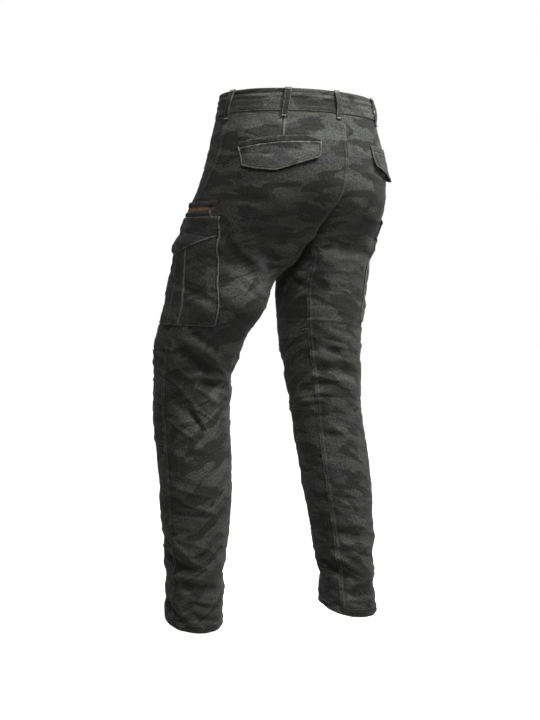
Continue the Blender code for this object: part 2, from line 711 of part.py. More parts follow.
def build_zip_cloth(collection):
    """Lips and tape of the zip pocket on each thigh."""
    across = np.linspace(ZIP_FRONT, ZIP_BACK, 15)[None, :]
    upper = ZIP_Z + TAPE_HALF + 2 * HALF_GAP
    lower = ZIP_Z - TAPE_HALF - 2 * HALF_GAP
    strips = (
        ("zip_lip_upper", upper + LIP_WIDTH, upper, LAY, LIP_CLOTH, "camo_cotton"),
        ("zip_tape", ZIP_Z + TAPE_HALF, ZIP_Z - TAPE_HALF, TAPE_LIFT, TAPE_CLOTH, "zip_tape"),
        ("zip_lip_lower", lower, lower - LIP_WIDTH, LAY, LIP_CLOTH, "camo_cotton"),
    )
    for side in SIDES:
        for name, top, bottom, lift, thickness, finish_name in strips:
            z = np.array([top, bottom])[:, None] + 0.0 * across
            patch(f"{name}_{side}", side, side_seam(side, z), across + 0.0 * z, z, lift, thickness,
                  finish_name, collection)


def seat_frame(side, z, phi):
    """Placing matrix on the cloth: X level along it, Y up along it, Z straight out of it."""
    out = outward(side, np.array(z), np.array(phi))
    out[0] *= SIGN[side]
    out = Vector(out.tolist())
    up = Vector((0.0, 0.0, 1.0))
    up = (up - out * up.dot(out)).normalized()
    level = up.cross(out)
    origin = Vector(cloth(side, z, phi).tolist())
    turn = Matrix((level, up, out)).transposed()
    return Matrix.Translation(origin) @ turn.to_4x4()


def mesh_of(name, make, *args, **sizes):
    """Mesh from one of bmesh's primitives."""
    shape = bmesh.new()
    make(shape, *args, **sizes)
    mesh = bpy.data.meshes.new(name)
    shape.to_mesh(mesh)
    shape.free()
    return mesh


def box_mesh(name, size, middle):
    """Box of a size about a middle point."""
    place = Matrix.Translation(middle) @ Matrix.Diagonal((*size, 1.0))
    return mesh_of(name, bmesh.ops.create_cube, size=1.0, matrix=place)


def rod_mesh(name, radius, length, sides):
    """Rod along X about the origin."""
    place = Matrix.Rotation(math.radians(90), 4, "Y")
    return mesh_of(name, bmesh.ops.create_cone, cap_ends=True, segments=sides, radius1=radius,
                   radius2=radius, depth=length, matrix=place)


def combine(part, operation, name, mesh, place, cutters):
    """Join or cut a part with a helper that is left out of renders."""
    helper = bpy.data.objects.new(name, mesh)
    helper.matrix_world = place
    helper.hide_render = True
    helper.display_type = "WIRE"
    cutters.objects.link(helper)
    boolean = part.modifiers.new(name, "BOOLEAN")
    boolean.operation = operation
    boolean.solver = "EXACT"
    boolean.object = helper


def build_slider(side, place, collection, cutters):
    """Zip slider with two lugs and the pin that its tab turns on."""
    base = TAPE_LIFT + TAPE_CLOTH + 2 * HALF_GAP
    size = (SLIDER_LENGTH, SLIDER_WIDTH, SLIDER_THICKNESS)
    mesh = box_mesh(f"zip_slider_{side}", size, (0.0, 0.0, base + SLIDER_THICKNESS / 2))
    slider = add_object(f"zip_slider_{side}", mesh, "dark_metal", collection)
    slider.matrix_world = place
    bevel = slider.modifiers.new("rounded edges", "BEVEL")
    bevel.width = SLIDER_EDGE
    bevel.segments = 2
    lug_foot = base + SLIDER_THICKNESS - SINK
    lug_top = PIN_HEIGHT + LUG_OVER_PIN
    lug_size = (LUG_WIDTH, LUG_DEPTH, lug_top - lug_foot)
    lug_x = BARREL_WIDTH / 2 + 2 * HALF_GAP + LUG_WIDTH / 2
    for label, x in (("front", -lug_x), ("rear", lug_x)):
        lug = box_mesh(f"lug_{label}_{side}", lug_size, (x, 0.0, (lug_top + lug_foot) / 2))
        combine(slider, "UNION", f"lug_{label}_{side}", lug, place, cutters)
    pin = rod_mesh(f"pin_{side}", PIN_RADIUS, 2 * lug_x + LUG_WIDTH / 2, 12)
    pin_place = place @ Matrix.Translation((0.0, 0.0, PIN_HEIGHT))
    combine(slider, "UNION", f"pin_{side}", pin, pin_place, cutters)


def build_tab(side, place, collection, cutters):
    """Pull tab, rolled round the pin and hanging down; its origin is on the pin's axis."""
    pin_place = place @ Matrix.Translation((0.0, 0.0, PIN_HEIGHT))
    root = (BARREL_HOLE + BARREL_RADIUS) / 2
    size = (TAB_WIDTH, TAB_LENGTH - root, TAB_THICKNESS)
    middle = (0.0, -(TAB_LENGTH + root) / 2, -TAB_SET_BACK)
    mesh = box_mesh(f"zip_pull_{side}", size, middle)
    tab = add_object(f"zip_pull_{side}", mesh, "dark_metal", collection)
    tab.matrix_world = pin_place
    neck = box_mesh(f"neck_cut_{side}", (TAB_WIDTH, 2 * NECK_LENGTH, 4 * TAB_THICKNESS), (0.0, 0.0, 0.0))
    for label, x in (("front", -1.0), ("rear", 1.0)):
        shift = Matrix.Translation((x * (BARREL_WIDTH + TAB_WIDTH) / 2, 0.0, 0.0))
        combine(tab, "DIFFERENCE", f"neck_{label}_{side}", neck, pin_place @ shift, cutters)
    barrel = rod_mesh(f"barrel_{side}", BARREL_RADIUS, BARREL_WIDTH, 16)
    combine(tab, "UNION", f"barrel_{side}", barrel, pin_place, cutters)
    hole = rod_mesh(f"pin_hole_{side}", BARREL_HOLE, 3 * BARREL_WIDTH, 16)
    combine(tab, "DIFFERENCE", f"pin_hole_{side}", hole, pin_place, cutters)


def build_zip_metal(collection, cutters):
    """Slider and pull tab at the rear end of each zip."""
    for side in SIDES:
        start = side_seam(side, np.array(ZIP_Z))
        phi = walk(side, np.array(ZIP_Z), start, np.array(SLIDER_ACROSS))
        place = seat_frame(side, ZIP_Z, float(phi))
        build_slider(side, place, collection, cutters)
        build_tab(side, place, collection, cutters)


def build_button(collection):
    """Shank button of the waist, turned from its profile."""
    lift = BAND_LIFT + 2 * HALF_GAP
    mesh = bpy.data.meshes.new("waist_button")
    points = [(row.radius * BUTTON_RADIUS, 0.0, lift + row.height * BUTTON_THICKNESS) for row in BUTTON]
    mesh.from_pydata(points, [(i, i + 1) for i in range(len(points) - 1)], [])
    button = add_object("waist_button", mesh, "brass", collection)
    z = np.array(BUTTON_Z)
    phi = walk("left", z, -inner_seam("left", z), np.array(BUTTON_ACROSS))
    button.matrix_world = seat_frame("left", BUTTON_Z, float(phi))
    screw = button.modifiers.new("turn", "SCREW")
    screw.steps = BUTTON_STEPS
    screw.render_steps = BUTTON_STEPS
    screw.use_merge_vertices = True
    screw.merge_threshold = BUTTON_MERGE
    screw.use_smooth_shade = True


def main():
    """Clear the scene and build the pants."""
    for old in list(bpy.data.objects):
        bpy.data.objects.remove(old, do_unlink=True)
    collection = bpy.data.collections.new("motorcycle_pants")
    cutters = bpy.data.collections.new("cutters")
    for group in (collection, cutters):
        bpy.context.scene.collection.children.link(group)
    build_panels(collection)
    build_waistband(collection)
    build_hems(collection)
    build_loops(collection)
    build_back_pockets(collection)
    build_front_pockets(collection)
    build_fly(collection)
    build_cargo_pockets(collection)
    build_zip_cloth(collection)
    build_zip_metal(collection, cutters)
    build_button(collection)


if __name__ == "__main__":
    main()
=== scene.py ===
"""Looks of the motorcycle pants: sewn cotton shells, stitching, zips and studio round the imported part.

Metres and +Z up, in the part's own frame: front at -Y, the wearer's left at +X, the waistband's top
edge at zero. A half is one leg with its side of the trunk. A place on a half is given by its height z
and the angle phi round the half's own oval: 0 on the outer side, 90 at the back, -90 at the front.
"""

import logging
import math
from collections.abc import Sequence
from dataclasses import dataclass, field
from enum import Enum
from typing import Any, NamedTuple

import bpy
import numpy as np
from mathutils import Matrix, Vector


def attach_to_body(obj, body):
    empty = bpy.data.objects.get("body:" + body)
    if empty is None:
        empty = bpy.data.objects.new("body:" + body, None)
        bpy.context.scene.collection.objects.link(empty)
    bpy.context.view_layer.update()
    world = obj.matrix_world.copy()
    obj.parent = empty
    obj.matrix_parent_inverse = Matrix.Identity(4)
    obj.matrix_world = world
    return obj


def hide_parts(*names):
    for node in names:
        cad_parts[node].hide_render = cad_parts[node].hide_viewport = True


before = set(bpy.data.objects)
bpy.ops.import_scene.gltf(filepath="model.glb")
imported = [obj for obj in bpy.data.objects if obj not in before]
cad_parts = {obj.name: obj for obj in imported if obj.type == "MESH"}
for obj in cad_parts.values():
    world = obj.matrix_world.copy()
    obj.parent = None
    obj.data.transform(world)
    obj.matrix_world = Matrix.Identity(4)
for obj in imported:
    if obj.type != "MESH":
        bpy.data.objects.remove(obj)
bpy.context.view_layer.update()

Array = np.ndarray
log = logging.getLogger("pants")

# Heights that the cut is drawn to
BAND_DEPTH = 0.038
CROTCH_Z = -0.248
KNEE_TOP_Z = -0.460
KNEE_BOTTOM_Z = -0.634
HEM_DEPTH = 0.014

# The dart above each back pocket: its angle, its two rows of stitches and its ends
DART_ANGLE = 48.0
DART_STITCHES = (-1.1, 1.4)
DART_TOP = -0.040
DART_FOOT = -0.090
DART_RADIUS = 0.160
DART_SUNK = 0.0014
DART_RIDGE = 0.0008

# The side seam that the zip and cargo pockets cover, and where its stitches stop and start again
COVERED = (-0.180, -0.414)
SIDE_STITCH_STOP = -0.184
SIDE_STITCH_START = -0.412

# The lower knee seam rises all round to the inseam, and the upper one close to it
LOWER_RISE = 0.060
LOWER_RISE_REACH = 0.090
UPPER_RISE = 0.042
UPPER_RISE_REACH = 0.060
UPPER_RISE_MIDDLE = math.radians(150)
UPPER_RISE_OVER = math.radians(60)

# Cloth: one layer, the waistband, half the gap at a seam,
# how far a cut runs under the next one's edge, and the felled edge of a seam
CLOTH = 0.0018
BAND_CLOTH = 0.0030
BAND_LIFT = 0.0010
HALF_GAP = 0.00015
SEAM_LAP = 0.0005
FELL_HEIGHT = 0.0011

# The right hip sits lower than the left, and the legs part below the crotch
HIP_ROLL = 0.010
HOLD_WIDTH = 0.070
FREE_LENGTH = 0.100

# A leg's radius, as the fine wrinkles lean round it
LEG_RADIUS = 0.072

# Steps for slopes on the form
HEIGHT_STEP = 0.002
ANGLE_STEP = 0.010

# Distances from an edge at which a mesh has its first lines
EDGE_LINES = (0.0, 0.0004, 0.0009, 0.0016, 0.0028, 0.0045, 0.0062, 0.0076, 0.0088, 0.0102)
TRIM_LINES = (0.0, 0.0003, 0.0008, 0.0016, 0.0028, 0.0042, 0.0058)


class Side(Enum):
    """The wearer's left or right."""

    LEFT = "left"
    RIGHT = "right"

    @property
    def sign(self) -> float:
        """Direction of the side along X."""
        return 1.0 if self is Side.LEFT else -1.0


class Edge(Enum):
    """How the edge of a cut is sewn."""

    FELLED = "felled"
    TUCKED = "tucked"
    PLAIN = "plain"


class TrunkRow(NamedTuple):
    """Section of the trunk; closing is the turn of the half's oval at the centre seam, in degrees."""

    z: float
    half_width: float
    centre_y: float
    front_depth: float
    back_depth: float
    closing: float


class LegRow(NamedTuple):
    """Section of the leg as it is cut."""

    z: float
    half_width: float
    front_depth: float
    back_depth: float


class StanceRow(NamedTuple):
    """How a leg stands: middle, swing, its seams' angles, its hem's slope and how full the tube is."""

    z: float
    centre_x: float
    swing: float
    outseam: float
    inseam: float
    tilt: float
    fill: float


TRUNK = (
    TrunkRow(0.000, 0.158, 0.000, 0.112, 0.112, 0),
    TrunkRow(-0.038, 0.163, 0.000, 0.116, 0.117, 2),
    TrunkRow(-0.080, 0.170, 0.000, 0.122, 0.127, 6),
    TrunkRow(-0.120, 0.174, 0.000, 0.126, 0.134, 12),
    TrunkRow(-0.143, 0.176, 0.000, 0.126, 0.135, 18),
    TrunkRow(-0.171, 0.178, 0.003, 0.123, 0.130, 29),
    TrunkRow(-0.200, 0.178, 0.010, 0.119, 0.116, 46),
    TrunkRow(-0.223, 0.178, 0.017, 0.116, 0.099, 64),
    TrunkRow(-0.248, 0.178, 0.023, 0.113, 0.081, 90),
)
LEG = (
    LegRow(-0.248, 0.0890, 0.113, 0.081),
    LegRow(-0.300, 0.0870, 0.098, 0.080),
    LegRow(-0.370, 0.0840, 0.085, 0.085),
    LegRow(-0.450, 0.0780, 0.079, 0.080),
    LegRow(-0.520, 0.0720, 0.073, 0.074),
    LegRow(-0.580, 0.0690, 0.070, 0.070),
    LegRow(-0.650, 0.0680, 0.069, 0.069),
    LegRow(-0.730, 0.0660, 0.067, 0.067),
    LegRow(-0.820, 0.0600, 0.061, 0.061),
    LegRow(-0.900, 0.0550, 0.057, 0.057),
    LegRow(-0.980, 0.0540, 0.056, 0.056),
)
STANCE = {
    Side.LEFT: (
        StanceRow(-0.000, 0.0000, 0.000, 2, 180, 0.03, 1.00),
        StanceRow(-0.060, 0.0000, -0.004, -3, 180, 0.03, 1.00),
        StanceRow(-0.120, 0.0000, -0.011, -7, 180, 0.02, 1.00),
        StanceRow(-0.160, 0.0000, -0.027, -14, 180, 0.01, 1.00),
        StanceRow(-0.200, 0.0000, -0.055, -21, 180, 0.00, 1.03),
        StanceRow(-0.248, 0.0890, -0.086, -18, 180, 0.00, 1.05),
        StanceRow(-0.300, 0.0930, -0.114, -12, 158, 0.00, 1.14),
        StanceRow(-0.335, 0.0970, -0.124, -8, 153, 0.00, 1.25),
        StanceRow(-0.370, 0.1015, -0.133, -4, 150, 0.00, 1.25),
        StanceRow(-0.440, 0.1085, -0.175, 0, 150, 0.00, 1.15),
        StanceRow(-0.500, 0.1145, -0.188, 0, 149, 0.00, 1.07),
        StanceRow(-0.556, 0.1155, -0.193, 0, 148, 0.00, 1.08),
        StanceRow(-0.704, 0.1220, -0.175, 0, 150, 0.00, 1.08),
        StanceRow(-0.852, 0.1260, -0.172, 0, 150, -0.05, 1.03),
        StanceRow(-0.976, 0.1260, -0.177, 0, 148, -0.22, 0.99),
    ),
    Side.RIGHT: (
        StanceRow(-0.000, 0.0000, 0.000, -4, 180, 0.03, 1.00),
        StanceRow(-0.060, 0.0000, 0.000, -4, 180, 0.03, 1.00),
        StanceRow(-0.120, 0.0000, 0.000, -4, 180, 0.02, 1.00),
        StanceRow(-0.160, 0.0000, -0.005, -5, 180, 0.01, 1.00),
        StanceRow(-0.200, 0.0000, -0.014, -6, 180, 0.00, 1.00),
        StanceRow(-0.248, 0.0890, -0.030, -6, 180, 0.00, 1.00),
        StanceRow(-0.300, 0.0900, -0.046, -4, 158, 0.00, 1.00),
        StanceRow(-0.376, 0.0910, -0.058, -2, 150, 0.00, 1.00),
        StanceRow(-0.452, 0.0960, -0.061, 0, 150, 0.00, 1.00),
        StanceRow(-0.578, 0.1060, -0.053, 0, 148, 0.00, 1.00),
        StanceRow(-0.728, 0.1130, -0.029, 0, 152, 0.00, 1.00),
        StanceRow(-0.833, 0.1180, -0.018, 0, 151, -0.05, 1.00),
        StanceRow(-0.954, 0.1200, -0.006, 0, 148, -0.27, 1.00),
    ),
}


class Fold(NamedTuple):
    """A crease: its middle, half its length and width, its height out, and its fall to the back."""

    z: float
    angle: float
    half_length: float
    spread: float
    height: float
    fall: float


# Creases of each half: the largest come first, as in the solids, and the finer ones after them
FOLDS = {
    Side.LEFT: (
        Fold(-0.280, 63, 0.045, 0.010, -0.0040, 37),
        Fold(-0.307, 75, 0.056, 0.011, -0.0040, 30),
        Fold(-0.281, 102, 0.030, 0.009, -0.0030, 22),
        Fold(-0.455, 52, 0.052, 0.011, 0.0060, 35),
        Fold(-0.474, 48, 0.046, 0.012, -0.0080, 35),
        Fold(-0.523, 86, 0.036, 0.011, -0.0070, 15),
        Fold(-0.570, 44, 0.042, 0.011, -0.0045, 42),
        Fold(-0.853, 14, 0.038, 0.013, -0.0080, 20),
        Fold(-0.895, 60, 0.052, 0.013, -0.0060, 5),
        Fold(-0.934, 22, 0.036, 0.010, 0.0040, 40),
        Fold(-0.190, -80, 0.055, 0.012, -0.0055, -28),
        Fold(-0.222, -92, 0.045, 0.012, -0.0045, -22),
        Fold(-0.500, 160, 0.034, 0.012, -0.0060, -12),
        Fold(-0.842, -112, 0.040, 0.013, -0.0060, 14),
        Fold(-0.893, -78, 0.046, 0.012, -0.0055, -10),
        Fold(-0.872, 160, 0.034, 0.012, -0.0050, -14),
        Fold(-0.063, 38, 0.026, 0.006, -0.0016, 24),
        Fold(-0.072, 24, 0.020, 0.005, 0.0010, 20),
        Fold(-0.165, 62, 0.055, 0.008, -0.0018, 11),
        Fold(-0.152, 66, 0.022, 0.006, -0.0012, 8),
        Fold(-0.186, 46, 0.034, 0.008, -0.0016, 15),
        Fold(-0.202, 84, 0.036, 0.008, 0.0014, 22),
        Fold(-0.259, 46, 0.040, 0.007, -0.0032, 47),
        Fold(-0.264, 67, 0.036, 0.006, -0.0030, 39),
        Fold(-0.296, 88, 0.040, 0.007, 0.0024, 32),
        Fold(-0.337, 76, 0.032, 0.008, -0.0030, 29),
        Fold(-0.352, 104, 0.026, 0.006, 0.0016, 18),
        Fold(-0.378, 60, 0.040, 0.009, -0.0016, 22),
        Fold(-0.428, 38, 0.024, 0.006, -0.0032, 14),
        Fold(-0.505, 62, 0.040, 0.008, 0.0022, 12),
        Fold(-0.537, 73, 0.032, 0.006, 0.0034, 38),
        Fold(-0.548, 104, 0.022, 0.006, -0.0022, 24),
        Fold(-0.582, 56, 0.026, 0.005, -0.0040, 57),
        Fold(-0.592, 66, 0.022, 0.005, 0.0018, 54),
        Fold(-0.560, 72, 0.030, 0.006, -0.0018, 3),
        Fold(-0.700, 40, 0.040, 0.009, -0.0012, 10),
        Fold(-0.761, 54, 0.046, 0.007, -0.0020, 4),
        Fold(-0.782, 26, 0.026, 0.007, 0.0018, 5),
        Fold(-0.800, 70, 0.034, 0.007, -0.0014, 12),
        Fold(-0.826, 26, 0.042, 0.007, 0.0036, 42),
        Fold(-0.876, 28, 0.040, 0.006, 0.0034, 4),
        Fold(-0.912, 90, 0.030, 0.006, 0.0018, 10),
        Fold(-0.927, 69, 0.026, 0.005, -0.0024, 20),
        Fold(-0.937, 96, 0.024, 0.005, 0.0016, 15),
        Fold(-0.949, 12, 0.030, 0.008, -0.0042, 32),
        Fold(-0.954, 84, 0.036, 0.006, -0.0036, 13),
        Fold(-0.452, -8, 0.026, 0.006, -0.0022, 25),
        Fold(-0.492, 4, 0.030, 0.007, -0.0024, 18),
        Fold(-0.540, 12, 0.030, 0.007, -0.0018, -15),
        Fold(-0.600, -10, 0.026, 0.006, 0.0014, 20),
        Fold(-0.165, -70, 0.048, 0.007, -0.0024, -30),
        Fold(-0.206, -104, 0.032, 0.006, 0.0022, -25),
        Fold(-0.240, -112, 0.036, 0.007, -0.0032, -16),
        Fold(-0.262, -82, 0.045, 0.008, -0.0024, -12),
        Fold(-0.290, -104, 0.040, 0.008, -0.0018, -20),
        Fold(-0.330, -70, 0.050, 0.010, -0.0016, 14),
        Fold(-0.395, -96, 0.040, 0.009, 0.0014, -16),
        Fold(-0.478, -124, 0.034, 0.007, -0.0026, 26),
        Fold(-0.505, -52, 0.034, 0.008, -0.0022, 28),
        Fold(-0.548, -132, 0.032, 0.007, -0.0026, -30),
        Fold(-0.596, -88, 0.042, 0.008, -0.0020, 6),
        Fold(-0.520, 178, 0.026, 0.006, -0.0030, -8),
        Fold(-0.476, 132, 0.030, 0.007, 0.0026, -14),
        Fold(-0.560, 150, 0.028, 0.007, -0.0022, -24),
        Fold(-0.690, -100, 0.042, 0.009, -0.0016, 10),
        Fold(-0.742, -60, 0.036, 0.008, 0.0014, -12),
        Fold(-0.778, -142, 0.036, 0.008, -0.0020, 12),
        Fold(-0.820, -58, 0.032, 0.007, -0.0026, -12),
        Fold(-0.864, -40, 0.030, 0.006, 0.0024, 15),
        Fold(-0.868, -100, 0.036, 0.006, 0.0026, 4),
        Fold(-0.918, -122, 0.038, 0.008, -0.0034, 8),
        Fold(-0.942, -60, 0.032, 0.007, -0.0028, -8),
        Fold(-0.905, 150, 0.028, 0.006, 0.0024, -10),
        Fold(-0.926, 162, 0.032, 0.007, -0.0032, -6),
        Fold(-0.835, 120, 0.026, 0.007, -0.0020, 16),
    ),
    Side.RIGHT: (
        Fold(-0.268, 112, 0.062, 0.013, -0.0045, -8),
        Fold(-0.450, 125, 0.034, 0.011, -0.0040, -28),
        Fold(-0.493, 105, 0.058, 0.011, -0.0060, -8),
        Fold(-0.523, 126, 0.034, 0.010, -0.0040, -15),
        Fold(-0.552, 166, 0.018, 0.012, 0.0045, -20),
        Fold(-0.583, 88, 0.040, 0.011, -0.0035, -65),
        Fold(-0.806, 125, 0.034, 0.011, -0.0045, -16),
        Fold(-0.876, 152, 0.050, 0.013, -0.0080, -18),
        Fold(-0.905, 80, 0.030, 0.010, -0.0035, -4),
        Fold(-0.190, -84, 0.050, 0.012, -0.0040, -30),
        Fold(-0.500, -118, 0.040, 0.012, -0.0045, 10),
        Fold(-0.846, -70, 0.042, 0.013, -0.0060, 12),
        Fold(-0.896, -116, 0.044, 0.012, -0.0055, -12),
        Fold(-0.858, 20, 0.036, 0.012, -0.0050, -18),
        Fold(-0.082, 62, 0.020, 0.005, -0.0018, 20),
        Fold(-0.070, 34, 0.030, 0.006, -0.0014, -16),
        Fold(-0.158, 70, 0.050, 0.008, -0.0018, -12),
        Fold(-0.190, 88, 0.034, 0.008, -0.0016, -20),
        Fold(-0.286, 96, 0.040, 0.007, 0.0020, -6),
        Fold(-0.290, 164, 0.024, 0.008, -0.0036, -16),
        Fold(-0.316, 170, 0.028, 0.005, 0.0024, -28),
        Fold(-0.329, 166, 0.028, 0.006, -0.0034, -25),
        Fold(-0.311, 80, 0.017, 0.005, -0.0024, 2),
        Fold(-0.302, 76, 0.015, 0.004, 0.0014, 20),
        Fold(-0.344, 118, 0.028, 0.007, -0.0020, -9),
        Fold(-0.380, 92, 0.036, 0.008, -0.0014, -14),
        Fold(-0.427, 91, 0.028, 0.008, 0.0022, 60),
        Fold(-0.432, 138, 0.022, 0.006, 0.0022, -30),
        Fold(-0.474, 132, 0.026, 0.006, 0.0024, -20),
        Fold(-0.508, 140, 0.022, 0.005, 0.0022, -12),
        Fold(-0.538, 136, 0.020, 0.005, 0.0018, -10),
        Fold(-0.606, 131, 0.022, 0.006, 0.0024, -12),
        Fold(-0.617, 128, 0.024, 0.006, -0.0024, -10),
        Fold(-0.603, 82, 0.022, 0.006, -0.0020, 9),
        Fold(-0.738, 129, 0.028, 0.006, -0.0020, 13),
        Fold(-0.756, 137, 0.016, 0.004, 0.0018, -46),
        Fold(-0.756, 80, 0.014, 0.005, -0.0018, 26),
        Fold(-0.776, 92, 0.018, 0.005, -0.0020, 24),
        Fold(-0.817, 142, 0.013, 0.004, -0.0022, -57),
        Fold(-0.822, 130, 0.020, 0.006, 0.0028, -20),
        Fold(-0.839, 104, 0.016, 0.004, 0.0022, 22),
        Fold(-0.857, 114, 0.024, 0.006, -0.0040, -20),
        Fold(-0.852, 142, 0.022, 0.006, 0.0032, -22),
        Fold(-0.893, 110, 0.026, 0.006, 0.0024, -4),
        Fold(-0.913, 106, 0.028, 0.006, -0.0032, -6),
        Fold(-0.931, 108, 0.022, 0.006, -0.0018, -11),
        Fold(-0.920, 170, 0.024, 0.006, 0.0024, -8),
        Fold(-0.165, -68, 0.046, 0.007, -0.0018, -34),
        Fold(-0.214, -100, 0.040, 0.007, -0.0026, -22),
        Fold(-0.236, -84, 0.030, 0.006, 0.0018, -18),
        Fold(-0.266, -116, 0.038, 0.008, -0.0022, -14),
        Fold(-0.310, -88, 0.046, 0.009, -0.0016, 12),
        Fold(-0.380, -110, 0.038, 0.009, 0.0014, -12),
        Fold(-0.440, -60, 0.036, 0.008, -0.0020, 24),
        Fold(-0.472, -96, 0.042, 0.008, 0.0022, 6),
        Fold(-0.528, -92, 0.044, 0.008, -0.0028, -4),
        Fold(-0.552, -136, 0.032, 0.007, -0.0022, -22),
        Fold(-0.470, 14, 0.034, 0.008, -0.0026, 18),
        Fold(-0.505, -8, 0.034, 0.007, -0.0024, -12),
        Fold(-0.560, 22, 0.028, 0.007, -0.0018, -30),
        Fold(-0.650, -84, 0.044, 0.009, -0.0014, 10),
        Fold(-0.712, -124, 0.040, 0.008, 0.0012, -10),
        Fold(-0.770, -70, 0.038, 0.008, -0.0022, 10),
        Fold(-0.812, -118, 0.036, 0.007, -0.0026, -8),
        Fold(-0.824, 34, 0.030, 0.007, 0.0024, -14),
        Fold(-0.870, -96, 0.038, 0.006, 0.0028, 2),
        Fold(-0.884, 30, 0.030, 0.006, 0.0024, -10),
        Fold(-0.908, 14, 0.034, 0.007, -0.0032, -12),
        Fold(-0.926, -72, 0.036, 0.007, -0.0030, 8),
        Fold(-0.938, 48, 0.028, 0.006, -0.0022, 6),
    ),
}


class Zone(NamedTuple):
    """At one height: the fall of the fine wrinkles towards the back, and how crushed the cloth is."""

    z: float
    lean: float
    crush: float


ZONES = {
    Side.LEFT: (
        Zone(0.000, 0.10, 0.25),
        Zone(-0.150, 0.20, 0.35),
        Zone(-0.240, 0.55, 0.60),
        Zone(-0.340, 0.50, 0.70),
        Zone(-0.440, 0.45, 1.00),
        Zone(-0.560, 0.45, 1.00),
        Zone(-0.680, 0.20, 0.55),
        Zone(-0.800, 0.15, 1.00),
        Zone(-0.980, 0.18, 1.15),
    ),
    Side.RIGHT: (
        Zone(0.000, -0.05, 0.25),
        Zone(-0.150, -0.15, 0.35),
        Zone(-0.260, -0.15, 0.60),
        Zone(-0.360, -0.25, 0.70),
        Zone(-0.460, -0.35, 1.00),
        Zone(-0.560, -0.25, 0.95),
        Zone(-0.680, -0.10, 0.60),
        Zone(-0.800, -0.20, 0.95),
        Zone(-0.980, -0.15, 1.15),
    ),
}


def smoothstep(t: Array) -> Array:
    """Rise from 0 to 1 with level ends."""
    t = np.clip(t, 0.0, 1.0)
    return t * t * (3.0 - 2.0 * t)


def bell(distance: Array, width: float) -> Array:
    """Rounded bump of height 1 about zero."""
    return np.exp(-((distance / width) ** 2))


def along(rows: Sequence[NamedTuple], column: str, z: Array) -> Array:
    """Smooth value of one column of a table.

    Args:
        rows: Table from the top down.
        column: Name of the column.
        z: Heights to read it at.

    Returns:
        The values at those heights.
    """
    fall = -np.array([row.z for row in rows])
    values = np.array([getattr(row, column) for row in rows], float)
    slopes = np.gradient(values, fall)
    depth = np.clip(-z, fall[0], fall[-1])
    i = np.clip(np.searchsorted(fall, depth, side="right") - 1, 0, len(fall) - 2)
    span = fall[i + 1] - fall[i]
    t = (depth - fall[i]) / span
    rise = t * t * (3.0 - 2.0 * t)
    bend = t * (1.0 - t) * ((1.0 - t) * slopes[i] - t * slopes[i + 1]) * span
    return values[i] + (values[i + 1] - values[i]) * rise + bend


@dataclass(frozen=True)
class Ripple:
    """Smooth random field in space, the same in every run."""

    seed: int
    size: tuple[float, float, float]
    height: float
    cells: int = 24

    def at(self, points: Array) -> Array:
        """Value of the field.

        Args:
            points: Places in metres, with x, y and z last.

        Returns:
            One value between minus and plus the height for each place.
        """
        lattice = np.random.default_rng(self.seed).uniform(-1.0, 1.0, (self.cells,) * 3)
        place = points / np.array(self.size)
        low = np.floor(place).astype(int)
        share = smoothstep(place - low)
        total = np.zeros(points.shape[:-1])
        for corner in np.ndindex(2, 2, 2):
            step = np.array(corner)
            weight = np.prod(np.where(step, share, 1.0 - share), axis=-1)
            i, j, k = np.moveaxis((low + step) % self.cells, -1, 0)
            total += weight * lattice[i, j, k]
        return self.height * total


